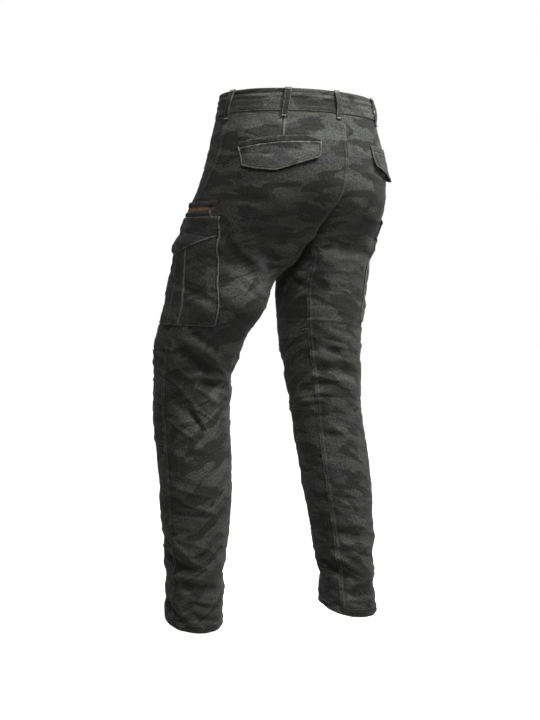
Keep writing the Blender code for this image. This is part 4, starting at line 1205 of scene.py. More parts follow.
@dataclass
class Workshop:
    """The finishes, the threads, and the handing over of each finished piece."""

    cotton: bpy.types.Material = field(default_factory=lambda: CamoCotton().build())
    thread: bpy.types.Material = field(default_factory=lambda: SewingThread().build())
    tack_thread: bpy.types.Material = field(
        default_factory=lambda: SewingThread("tack_thread", (0.42, 0.42, 0.40), (0.20, 0.20, 0.19)).build()
    )
    tape: bpy.types.Material = field(default_factory=lambda: ZipTape().build())
    copper: bpy.types.Material = field(
        default_factory=lambda: Metal("zip_copper", (0.34, 0.21, 0.135), (0.12, 0.078, 0.052), 0.42).build()
    )
    brass: bpy.types.Material = field(
        default_factory=lambda: Metal("button_brass", (0.42, 0.27, 0.15), (0.15, 0.095, 0.06), 0.36).build()
    )
    steel: bpy.types.Material = field(
        default_factory=lambda: Metal("slider_metal", (0.22, 0.21, 0.20), (0.06, 0.057, 0.054), 0.42).build()
    )
    threads: dict[str, Thread] = field(default_factory=dict)

    def sewing(self, name: str) -> Thread:
        """Thread that is gathered into one piece of a name."""
        return self.threads.setdefault(name, Thread(f"stitching_{name}"))

    def tack(self, cloth: Cloth, row: float, column: float, turned: bool, size: tuple[float, float]) -> None:
        """Sew a bar tack on a cut of cloth.

        Args:
            cloth: The cut.
            row: Row number of its middle.
            column: Column number of its middle.
            turned: Whether the bar runs down the cloth, not across it.
            size: Length of the bar and its width.
        """
        point, normal = cloth.sample(np.array([row]), np.array([column]))
        ahead, _ = cloth.sample(np.array([row + 0.3 * turned]), np.array([column + 0.3 * (not turned)]))
        self.sewing("tacks").tack(point[0], (ahead - point)[0], normal[0], *size)

    def deliver(self, cloth: Cloth, node: str, held: str, rests_on: Sequence[str]) -> bpy.types.Object:
        """Build a cut of cloth, hand it over in place of its node, and declare its flat size.

        Args:
            cloth: The cut.
            node: Node that it stands for.
            held: How the cloth is held; not used.
            rests_on: Nodes that carry it; not used.

        Returns:
            The finished object.
        """
        made = cloth.build(self.cotton)
        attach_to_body(made, "root")
        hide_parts(node)
        log.info("%s: cut %.0f x %.0f mm", made.name, 1000 * cloth.flat[0], 1000 * cloth.flat[1])
        return made

    def dress(self, node: str, finish: bpy.types.Material) -> None:
        """Give a node of the part its finish."""
        carried = bpy.data.objects[node]
        for slot_ in carried.material_slots:
            slot_.material = finish
        log.info("%s: %s", node, finish.name)

    def sew_all(self) -> None:
        """Build every piece of stitching, in dark thread for the rows and pale for the bar tacks."""
        for name, thread in self.threads.items():
            made = thread.build(self.tack_thread if name.startswith("tacks") else self.thread)
            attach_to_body(made, "root")
            log.info("%s: %d stitches", made.name, sum(len(beads) for beads in thread.beads))


FELLED, TUCKED, PLAIN = Edge.FELLED, Edge.TUCKED, Edge.PLAIN


def window(z: Array, top: float, bottom: float, soft: float = 0.012) -> Array:
    """One between two heights and zero outside them."""
    return smoothstep((top - z) / soft + 0.5) * smoothstep((z - bottom) / soft + 0.5)


@dataclass
class Leg:
    """The cuts of one trouser leg with its side of the seat: back, three front cuts and the hem band."""

    shop: Workshop
    side: Side
    step: float = 0.0037
    hem_cloth: float = 0.0028
    rows_of_stitches: tuple[float, float] = (0.0018, 0.0072)

    def layout(self, top: float, bottom: float, back: bool) -> tuple[Array, Array]:
        """Grid of heights and angles of one cut.

        Args:
            top: Height of its upper edge at the side seam.
            bottom: Height of its lower edge.
            back: Whether it is the back cut.

        Returns:
            Heights and angles, rows down and columns round.
        """
        half = Half(self.side)
        s = top - ticks(top - bottom, self.step, EDGE_LINES, EDGE_LINES)
        inner = half.inner_seam(s)
        if not back:
            inner = np.where(s > CROTCH_Z, -inner, inner - 2.0 * math.pi)
        outer = half.side_seam(s)
        inset = HALF_GAP if back else SEAM_LAP
        outer = outer + inset / half.speed(s, outer)
        inner = inner - np.where(s > CROTCH_Z, 0.0, inset / half.speed(s, inner))
        first, last = (outer, inner) if back else (inner, outer)
        share = np.linspace(0.0, 1.0, 161)[None, :]
        fine = first[:, None] * (1.0 - share) + last[:, None] * share
        heights = s[:, None] + knee_rise(s[:, None], fine)
        run = path_length(half.form(heights, fine), 1)
        widest = float(run[:, -1].max())
        pattern = ticks(widest, self.step, EDGE_LINES, EDGE_LINES)
        edge = EDGE_LINES[-1]
        inside = (pattern - edge) / (widest - 2.0 * edge)
        phi = np.empty((len(s), len(pattern)))
        for row in range(len(s)):
            width = run[row, -1]
            at = edge + inside * (width - 2.0 * edge)
            at = np.where(pattern < edge, pattern, at)
            at = np.where(pattern > widest - edge, width - (widest - pattern), at)
            phi[row] = np.interp(at, run[row], fine[row])
        return s[:, None] + knee_rise(s[:, None], phi), phi

    def cut(self, node: str, top: float, bottom: float, back: bool, sewing: Sewing, seed: int) -> Cloth:
        """One cut between two heights; the front ones run a little under their neighbours' edges."""
        lap = SEAM_LAP if node.startswith("front") else -HALF_GAP
        z, phi = self.layout(top + lap, bottom - lap, back)
        name = f"sewn_{node}_{self.side.value}"
        return Cloth(name, Half(self.side), z, phi, np.full_like(z, -CLOTH), CLOTH, sewing=sewing, seed=seed)

    def dart(self, z: Array, phi: Array) -> tuple[Array, Array]:
        """Relief of the dart above the back pocket, with pale wear on its ridge and a painted shadow in its
        sunk line.
        """
        away = (phi - math.radians(DART_ANGLE)) * DART_RADIUS
        ridge = DART_RIDGE * bell(away - 0.005, 0.003) - DART_SUNK * bell(away, 0.0020)
        # Pale wear on the dart's ridge, painted shadow in its sunk line.
        worn = 1.5 * bell(away - 0.0022, 0.0013) - 1.2 * bell(away, 0.0012)
        within = window(z, -0.030, -0.086, 0.02)
        return ridge * within, worn * within

    def build(self) -> None:
        """Make the five cuts and sew their seams."""
        side, name = self.side, self.side.value
        hem = STANCE[side][-1].z + HEM_DEPTH
        left = side is Side.LEFT
        thread = self.shop.sewing(name)
        shift = 0 if left else 20

        back = self.cut("back", -BAND_DEPTH, hem, True, Sewing(FELLED, FELLED, TUCKED, TUCKED), 1 + shift)
        z = back.z
        open_side = 1.0 - window(z, *COVERED)
        below_band = 1.0 - window(z, 0.1, -0.056, 0.010)
        centre = np.ones_like(z) if left else smoothstep((CROTCH_Z + 0.010 - z) / 0.02)
        back.shares = (open_side * below_band, centre * below_band, 1.0, 1.0)
        back.own_relief, back.own_wear_and_shade = self.dart(z, back.phi)
        self.shop.deliver(back, f"back_{name}", "hung", [f"waistband_{name}"])
        down = np.flatnonzero((z[:, 0] < DART_TOP) & (z[:, 0] > DART_FOOT))
        columns = np.arange(z.shape[1])
        for offset in DART_STITCHES:
            angle = math.radians(DART_ANGLE + offset)
            across = [np.interp(angle, back.phi[row], columns) for row in down]
            thread.row(back.sample(down.astype(float), np.array(across)))

        upper = self.cut(
            "front_upper", -BAND_DEPTH, KNEE_TOP_Z, False, Sewing(TUCKED, TUCKED, TUCKED, TUCKED), 2 + shift
        )
        upper.shares = (1.0, 1.0 - window(upper.z, *COVERED), 1.0, 1.0)
        self.shop.deliver(upper, f"front_upper_{name}", "hung", [f"waistband_{name}"])
        knee = self.cut(
            "knee", KNEE_TOP_Z, KNEE_BOTTOM_Z, False, Sewing(TUCKED, TUCKED, FELLED, FELLED), 3 + shift
        )
        self.shop.deliver(knee, f"knee_{name}", "hung", [f"front_upper_{name}"])
        lower = self.cut(
            "front_lower", KNEE_BOTTOM_Z, hem, False, Sewing(TUCKED, TUCKED, TUCKED, TUCKED), 4 + shift
        )
        self.shop.deliver(lower, f"front_lower_{name}", "hung", [f"knee_{name}"])

        for distance in self.rows_of_stitches:
            for edge in ("first", "last"):
                points, normals = back.beside(edge, distance, 0.004, 0.002)
                z = points[:, 2]
                if edge == "first":
                    for keep in (z > SIDE_STITCH_STOP, z < SIDE_STITCH_START):
                        thread.row((points[keep], normals[keep]))
                else:
                    keep = z < (1.0 if left else CROTCH_Z - 0.008)
                    thread.row((points[keep], normals[keep]))
            thread.row(knee.beside("top", distance, 0.001, 0.001))
            thread.row(knee.beside("bottom", distance, 0.001, 0.001))
        self.hem(thread, shift)

    def hem(self, thread: Thread, shift: int) -> None:
        """Make the turned band round the ankle.

        Args:
            thread: Thread that sews it.
            shift: Choice of its pattern and puckers.
        """
        half = Half(self.side)
        bottom = STANCE[self.side][-1].z
        top = bottom + HEM_DEPTH + 4 * HALF_GAP
        z = top - ticks(top - bottom, 0.0016, TRIM_LINES[:5], TRIM_LINES[:5])
        phi = np.radians(np.linspace(0.0, 360.0, 120, endpoint=False))
        z, phi = np.meshgrid(z, phi, indexing="ij")
        points = half.place(z, phi, np.zeros_like(z))
        run = path_length(points, 1)
        pucker = wander(run, 0.0047, 61 + shift) * (0.6 + 0.4 * wander(run, 0.05, 62 + shift))
        inside = (top - z) / (top - bottom)
        own = 0.0006 * pucker * np.sin(np.pi * np.clip(inside * 1.15, 0.0, 1.0)) + 0.0002 * pucker
        band = Cloth(
            f"sewn_hem_{self.side.value}", half, z, phi, np.full_like(z, -CLOTH), self.hem_cloth,
            own_relief=own, seed=5 + shift, ring=True,
        )
        self.shop.deliver(band, f"hem_{self.side.value}", "folded", [f"back_{self.side.value}"])
        points, normals = band.beside("top", 0.0018)
        thread.row((np.concatenate([points, points[:1]]), np.concatenate([normals, normals[:1]])))


class LoopRow(NamedTuple):
    """Height down a belt loop and how far its inner face stands off the cut."""

    z: float
    lift: float


class LoopPlace(NamedTuple):
    """Node of a belt loop, its side and angle, and how far its foot leans towards the back."""

    node: str
    side: Side
    angle: float
    lean: float


@dataclass
class Waistband:
    """The band in two halves, its seven belt loops and the waist button."""

    shop: Workshop
    loop_width: float = 0.012
    loop_cloth: float = 0.0016
    loop_places: tuple[LoopPlace, ...] = (
        LoopPlace("loop_side_left", Side.LEFT, 2, -0.009),
        LoopPlace("loop_side_right", Side.RIGHT, -4, 0.004),
        LoopPlace("loop_back_left", Side.LEFT, 49, -0.003),
        LoopPlace("loop_back_right", Side.RIGHT, 51, -0.007),
        LoopPlace("loop_front_left", Side.LEFT, -60, 0.003),
        LoopPlace("loop_front_right", Side.RIGHT, -60, -0.004),
        LoopPlace("loop_centre", Side.LEFT, 87, 0.009),
    )
    loop_rows: tuple[LoopRow, ...] = (
        LoopRow(0.0012, 0.0016),
        LoopRow(-0.0040, 0.0030),
        LoopRow(-0.0110, 0.0043),
        LoopRow(-0.0190, 0.0049),
        LoopRow(-0.0280, 0.0047),
        LoopRow(-0.0360, 0.0037),
        LoopRow(-0.0405, 0.0021),
        LoopRow(-0.0440, 0.0012),
        LoopRow(-0.0500, 0.0009),
    )
    crumple: Ripple = Ripple(41, (0.026, 0.026, 0.0055), 0.0008)

    def band(self, side: Side) -> None:
        """Make one half of the band and sew its two edges."""
        half = Half(side)
        z = -ticks(BAND_DEPTH + 4 * HALF_GAP, 0.0020, TRIM_LINES, EDGE_LINES)
        length = 0.49
        columns = ticks(length, 0.0032, TRIM_LINES, TRIM_LINES) / length * 2.0 - 1.0
        z, share = np.meshgrid(z, columns, indexing="ij")
        phi = half.inner_seam(z) * share
        points = half.place(z, phi, np.zeros_like(z))
        run = path_length(points, 1)
        own = self.crumple.at(points) * window(z, -0.004, -0.032, 0.008)
        sag = 0.0016 * wander(run, 0.045, 72)
        own = own + 0.0010 * bell(z + 0.0128 + sag, 0.0022) - 0.0008 * bell(z + 0.0172 + sag, 0.0022)
        own = own - 0.0011 * bell(z + 0.0070 + 0.5 * sag, 0.0019)
        own = own + 0.00040 * wander(run, 0.0055, 71) * window(z, -0.020, -0.034, 0.008)
        # Painted shade in the band's two grooves.
        dark = 0.9 * bell(z + 0.0070 + 0.5 * sag, 0.0017) + 0.5 * bell(z + 0.0172 + sag, 0.0020)
        dark = dark * (0.7 + 0.5 * wander(run, 0.020, 73))
        name = side.value
        band = Cloth(
            f"sewn_waistband_{name}", half, z, phi, np.full_like(z, BAND_LIFT - BAND_CLOTH), BAND_CLOTH,
            own_relief=own, own_wear_and_shade=-dark, sewing=Sewing(PLAIN, PLAIN, PLAIN, FELLED),
            shares=(1.0, 1.0, 1.0, 0.75),
            seed=6 if side is Side.LEFT else 26,
        )
        self.shop.deliver(band, f"waistband_{name}", "hung", ["root"])
        thread = self.shop.sewing("waist")
        thread.row(band.beside("top", 0.0024, 0.002, 0.002))
        thread.row(band.beside("bottom", 0.0017, 0.002, 0.002))

    def loop(self, place: LoopPlace, seed: int) -> None:
        """Make one belt loop with its two rows of stitches and two bar tacks."""
        node, side, angle, lean = place
        half = Half(side)
        fall = np.array([-row.z for row in self.loop_rows])
        z = self.loop_rows[0].z - ticks(fall[-1] - fall[0], 0.0014, TRIM_LINES[:4], TRIM_LINES[:4])
        across = ticks(self.loop_width, 0.0010, TRIM_LINES[:4], TRIM_LINES[:4]) - self.loop_width / 2
        z, across = np.meshgrid(z, across, indexing="ij")
        shift = lean * (-z / fall[-1] - 0.5)
        phi = half.walk(z, np.full_like(z, math.radians(angle)), across + shift)
        lift = blurred(np.interp(-z, fall, [row.lift for row in self.loop_rows]), 3)
        edge = np.abs(across) / (self.loop_width / 2)
        own = 0.00045 * bell(edge - 0.62, 0.22) - 0.0002 * bell(edge, 0.3)
        own = own + 0.00022 * wander(z, 0.0045, seed) + 0.0002 * wander(across + 0.3 * z, 0.004, seed + 1)
        strip = Cloth(
            f"sewn_{node}", half, z, phi, lift, self.loop_cloth, own_relief=own, seed=seed, edge_wear=0.8
        )
        band = f"waistband_{side.value}"
        self.shop.deliver(strip, node, "laid", [band])
        thread = self.shop.sewing("waist")
        for edge_name in ("first", "last"):
            thread.row(strip.beside(edge_name, 0.0022, 0.003, 0.003))
        rows, columns = strip.points.shape[:2]
        heights = strip.down[:, columns // 2]
        for place in (0.0034, heights[-1] - 0.0030):
            row = float(np.interp(place, heights, np.arange(rows, dtype=float)))
            self.shop.tack(strip, row, (columns - 1) / 2.0, False, (0.0098, 0.0022))

    def build(self) -> None:
        """Make the band, its loops and the button."""
        for side in Side:
            self.band(side)
        for number, place in enumerate(self.loop_places):
            self.loop(place, 40 + 3 * number)
        self.shop.dress("waist_button", self.shop.brass)


def table_value(rows: Sequence[NamedTuple], column: str, key: str, values: Array) -> Array:
    """Straight-line value of one column of a table at values of its key column."""
    keys = [getattr(row, key) for row in rows]
    found = [getattr(row, column) for row in rows]
    if keys[0] > keys[-1]:
        keys, found = keys[::-1], found[::-1]
    return np.interp(values, keys, found)


class FlapRow(NamedTuple):
    """Across a back pocket: the top of its welt, and the top and bottom of its flap."""

    across: float
    welt_top: float
    flap_top: float
    flap_bottom: float


@dataclass
class BackPocket:
    """Welt and pointed flap of one back pocket."""

    shop: Workshop
    side: Side
    lay: float = 0.0009
    flap_cloth: float = 0.0020
    welt_cloth: float = 0.0016
    angle: float = 47.0
    flap_lean: float = 0.015
    rows: tuple[FlapRow, ...] = (
        FlapRow(-0.074, -0.0905, -0.1010, -0.1300),
        FlapRow(-0.036, -0.0850, -0.0955, -0.1360),
        FlapRow(0.004, -0.0815, -0.0920, -0.1390),
        FlapRow(0.040, -0.0805, -0.0910, -0.1270),
        FlapRow(0.074, -0.0800, -0.0905, -0.1160),
    )

    @property
    def stand(self) -> float:
        """How far the flap's lower edge stands off the seat."""
        return 0.0030 if self.side is Side.LEFT else 0.0060

    @property
    def drop(self) -> float:
        """How much lower the pocket sits, because the seat turns with the stance."""
        return 0.0 if self.side is Side.LEFT else 0.010

    def build(self) -> None:
        """Make the welt and the flap and sew them."""
        half = Half(self.side)
        name = self.side.value
        shift = 0 if self.side is Side.LEFT else 20
        width = self.rows[-1].across - self.rows[0].across
        across = self.rows[0].across + ticks(width, 0.0026, TRIM_LINES, TRIM_LINES)
        top = table_value(self.rows, "welt_top", "across", across) - self.drop
        middle = table_value(self.rows, "flap_top", "across", across) - self.drop
        bottom = table_value(self.rows, "flap_bottom", "across", across) - self.drop
        bottom = np.convolve(np.pad(bottom, 2, mode="edge"), np.ones(5) / 5.0, "valid")
        thread = self.shop.sewing(name)

        share = ticks(1.0, 0.11, (0.0, 0.03, 0.08, 0.16), (0.0, 0.03, 0.08, 0.16))[:, None]
        z = top * (1.0 - share) + (middle + 2 * HALF_GAP) * share
        reach = across + 0.0 * z
        phi = half.walk(z, np.full_like(z, math.radians(self.angle)), reach)
        puckers = wander(reach, 0.0048, 81 + shift) * (0.6 + 0.4 * wander(reach, 0.03, 82 + shift))
        own = 0.0008 * np.sin(np.pi * share) + 0.0007 * puckers
        # Pucker tops paler with wear; pucker hollows and the lower edge by the flap darkened with painted
        # shade.
        own_wear_and_shade = 0.45 * puckers - 0.8 * bell(share - 1.0, 0.16)
        welt = Cloth(
            f"sewn_back_welt_{name}", half, z, phi, np.full_like(z, self.lay), self.welt_cloth,
            own_relief=own, own_wear_and_shade=own_wear_and_shade, seed=7 + shift, edge_wear=0.5,
        )
        self.shop.deliver(welt, f"back_welt_{name}", "laid", [f"back_{name}"])
        thread.row(welt.beside("top", 0.0016, 0.002, 0.002))

        depth = float((middle - bottom).max())
        share = ticks(depth, 0.0026, TRIM_LINES, TRIM_LINES)[:, None] / depth
        z = middle * (1.0 - share) + bottom * share
        outer = np.clip(across / across[0], 0.0, 1.0) ** 2
        reach = across + self.flap_lean * share * outer
        phi = half.walk(z, np.full_like(z, math.radians(self.angle)), reach)
        lift = self.lay + self.stand * share**1.5 + 0.0 * z
        near = np.minimum(across - across[0], across[-1] - across)[None, :]
        edge = np.minimum(near, z - bottom)
        fold = 0.0022 * bell((reach - self.rows[0].across) - 0.55 * (middle - z) - 0.004, 0.0045)
        own = 0.0003 * bell(edge - 0.0012, 0.0014) - 0.00035 * bell(edge - 0.0045, 0.0016)
        own = own + 0.00035 * wander(reach, 0.0055, 85 + shift) * bell(edge - 0.003, 0.006)
        own = own + 0.0009 * wander(reach, 0.030, 86 + shift) * share - fold * share * (1.0 - share) * 2.0
        own = own + 0.0006 * bell(share - 0.06, 0.06)
        flap = Cloth(
            f"sewn_back_flap_{name}", half, z, phi, lift, self.flap_cloth, own_relief=own, seed=8 + shift,
            edge_wear=1.3,
        )
        self.shop.deliver(flap, f"back_flap_{name}", "laid", [f"back_{name}", f"back_welt_{name}"])
        for distance in (0.0018, 0.0066):
            thread.row(flap.beside("bottom", distance, distance, distance))
            thread.row(flap.beside("first", distance, 0.001, distance))
            thread.row(flap.beside("last", distance, 0.001, distance))
        columns = flap.points.shape[1]
        for column in (3.5, columns - 4.5):
            self.shop.tack(flap, 4.0, column, True, (0.0075, 0.0022))


class MouthRow(NamedTuple):
    """Height and angle of a front pocket's mouth."""

    z: float
    angle: float


@dataclass
class FrontPocket:
    """Bound mouth of one front hip pocket."""

    shop: Workshop
    side: Side
    width: float = 0.007
    cloth: float = 0.0013
    rows: tuple[MouthRow, ...] = (
        MouthRow(-0.0400, -21),
        MouthRow(-0.0600, -25),
        MouthRow(-0.0850, -28),
        MouthRow(-0.1100, -29),
        MouthRow(-0.1280, -26),
    )

    def build(self) -> None:
        """Make the binding and sew it, with a bar tack at its lower end."""
        half = Half(self.side)
        name = self.side.value
        top, bottom = self.rows[0].z, self.rows[-1].z
        z = top - ticks(top - bottom, 0.0030, TRIM_LINES[:4], TRIM_LINES[:4])
        across = ticks(self.width, 0.0010, TRIM_LINES[:4], TRIM_LINES[:4]) - self.width / 2
        z, across = np.meshgrid(z, across, indexing="ij")
        start = blurred(np.radians(table_value(self.rows, "angle", "z", z)), 12)
        phi = half.walk(z, start, across)
        own = 0.0004 * (1.0 - (across / (self.width / 2)) ** 2) + 0.0003 * wander(z, 0.0052, 91)
        edge = Cloth(
            f"sewn_front_pocket_edge_{name}", half, z, phi, np.full_like(z, -0.0004), self.cloth,
            own_relief=own, seed=9 if self.side is Side.LEFT else 29, edge_wear=0.9,
        )
        self.shop.deliver(edge, f"front_pocket_edge_{name}", "laid", [f"front_upper_{name}"])
        thread = self.shop.sewing(name)
        thread.row(edge.beside("first", 0.0018, 0.003, 0.003))
        thread.row(edge.beside("last", 0.0014, 0.003, 0.003))
        rows, columns = edge.points.shape[:2]
        for row, length in ((3.0, 0.0070), (rows - 4.0, 0.0110)):
            self.shop.tack(edge, row, (columns - 1) / 2.0, False, (length, 0.0028))


@dataclass
class Fly:
    """Facing over the front opening, with its curved double row of stitches."""

    shop: Workshop
    width: float = 0.038
    bottom: float = -0.185
    curve: float = 0.034
    cloth: float = 0.0013

    def build(self) -> None:
        """Make the facing and sew it."""
        half = Half(Side.LEFT)
        across = ticks(self.width, 0.0030, TRIM_LINES, TRIM_LINES)
        across = self.width * np.sin(across / self.width * math.pi / 2)
        low = self.bottom + self.curve * (1.0 - np.sqrt(1.0 - np.clip(across / self.width, 0, 1) ** 2))
        high = np.full_like(low, -BAND_DEPTH - 4 * HALF_GAP)
        share = ticks(1.0, 0.022, (0.0, 0.003, 0.008, 0.015), (0.0, 0.003, 0.008, 0.015))[:, None]
        z = high * (1.0 - share) + low * share
        reach = across + 0.0 * z
        phi = half.walk(z, -half.inner_seam(z), reach)
        own = 0.00035 * wander(z, 0.0056, 95) * smoothstep(reach / self.width)
        facing = Cloth(
            "sewn_fly", half, z, phi, np.full_like(z, 0.0008), self.cloth, own_relief=own, seed=10,
            edge_wear=0.7,
        )
        self.shop.deliver(facing, "fly", "laid", ["front_upper_left"])
        thread = self.shop.sewing("waist")
        for distance in (0.0020, 0.0082):
            points, normals = facing.beside("bottom", distance, 0.001, 0.0)
            thread.row((points, normals))


@dataclass
class ZipPocket:
    """Zip pocket above a cargo pocket: two lips, tape, coil, slider and pull tab."""

    shop: Workshop
    side: Side
    z: float = -0.200
    front: float = -0.074
    back: float = 0.068
    tape_half: float = 0.0032
    lip_width: float = 0.0095
    lip_cloth: float = 0.0016
    tape_cloth: float = 0.0009
    tape_lift: float = 0.0005
    pitch: float = 0.0016
    tooth_half: float = 0.00058
    tooth_reach: float = 0.0017
    tooth_offset: float = 0.00145
    lip_lift: float = 0.0009

    def strip(
        self, node: str, top: float, bottom: float, lift: float, cloth: float, relief: float, seed: int
    ) -> Cloth:
        """One strip across the thigh."""
        half = Half(self.side)
        length = self.back - self.front
        across = self.front + ticks(length, 0.0026, TRIM_LINES, TRIM_LINES)
        share = ticks(1.0, 0.12, (0.0, 0.03, 0.09, 0.18), (0.0, 0.03, 0.09, 0.18))[:, None]
        z = top * (1.0 - share) + bottom * share + 0.0 * across
        reach = across + 0.0 * z
        phi = half.walk(z, half.side_seam(z), reach)
        own = relief * np.sin(np.pi * share) * (1.0 + 0.35 * wander(reach, 0.0060, seed))
        name = f"sewn_{node}_{self.side.value}"
        # The lips' edges are worn pale with a band of painted shade inside; the tape has neither.
        worn = 0.0 if "tape" in node else 0.9
        lifts = np.full_like(z, lift)
        return Cloth(name, half, z, phi, lifts, cloth, own_relief=own, seed=seed, edge_wear=worn)

    def coil(self, tape: Cloth) -> None:
        """Make the zip's teeth along the middle of the tape."""
        rows, columns = tape.points.shape[:2]
        run = tape.across[rows // 2]
        count = int(run[-1] / self.pitch)
        at = (np.arange(count) + 0.5) * self.pitch
        column = np.interp(at, run, np.arange(columns, dtype=float))
        middle, normal = tape.sample(np.full(count, (rows - 1) / 2.0), column)
        ahead, _ = tape.sample(np.full(count, (rows - 1) / 2.0), column + 0.2)
        level = ahead - middle
        level /= np.linalg.norm(level, axis=-1, keepdims=True)
        up = np.cross(normal, level)
        offset = self.tooth_offset * (-1.0) ** np.arange(count)[:, None]
        middle = middle + up * offset
        corners = []
        for rise, grow in ((-0.0001, 1.0), (0.0006, 1.0), (0.0010, 0.62)):
            for x, y in ((-1, -1), (1, -1), (1, 1), (-1, 1)):
                flat = level * (x * self.tooth_half * grow) + up * (y * self.tooth_reach * grow)
                corners.append(middle + flat + normal * rise)
        points = np.stack(corners, 1)
        quads = [(3, 2, 1, 0), (8, 9, 10, 11)]
        for ring in (0, 4):
            for k in range(4):
                n = (k + 1) % 4
                quads.append((ring + k, ring + n, ring + 4 + n, ring + 4 + k))
        faces = (np.array(quads)[None] + 12 * np.arange(count)[:, None, None]).reshape(-1, 4)
        name = f"zip_teeth_{self.side.value}"
        made = new_object(name, mesh_from(name, points.reshape(-1, 3), faces, False), self.shop.copper)
        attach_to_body(made, "root")
        log.info("%s: %d teeth", name, count)

    def build(self) -> None:
        """Make the lips, the tape and the teeth, and dress the slider and its pull."""
        name = self.side.value
        shift = 0 if self.side is Side.LEFT else 20
        upper = self.z + self.tape_half + 2 * HALF_GAP
        lower = self.z - self.tape_half - 2 * HALF_GAP
        thread = self.shop.sewing(name)
        panels = [f"back_{name}", f"front_upper_{name}"]
        lip = self.strip(
            "zip_lip_upper", upper + self.lip_width, upper, self.lip_lift, self.lip_cloth, 0.0013, 12 + shift
        )
        self.shop.deliver(lip, f"zip_lip_upper_{name}", "laid", panels)
        thread.row(lip.beside("top", 0.0016, 0.001, 0.001))
        low = self.strip(
            "zip_lip_lower", lower, lower - self.lip_width, self.lip_lift, self.lip_cloth, 0.0012, 13 + shift
        )
        self.shop.deliver(low, f"zip_lip_lower_{name}", "laid", panels)
        thread.row(low.beside("bottom", 0.0016, 0.001, 0.001))
        top, bottom = self.z + self.tape_half, self.z - self.tape_half
        tape = self.strip("zip_tape", top, bottom, self.tape_lift, self.tape_cloth, 0.0, 14 + shift)
        made = self.shop.deliver(tape, f"zip_tape_{name}", "laid", panels)
        made.data.materials[0] = self.shop.tape
        self.coil(tape)
        self.shop.dress(f"zip_slider_{name}", self.shop.steel)
        self.shop.dress(f"zip_pull_{name}", self.shop.steel)


class BagRow(NamedTuple):
    """Half the width of a cargo bag at one height."""

    z: float
    half_width: float


class CargoFlapRow(NamedTuple):
    """Lower edge of a cargo flap across it."""

    across: float
    bottom: float


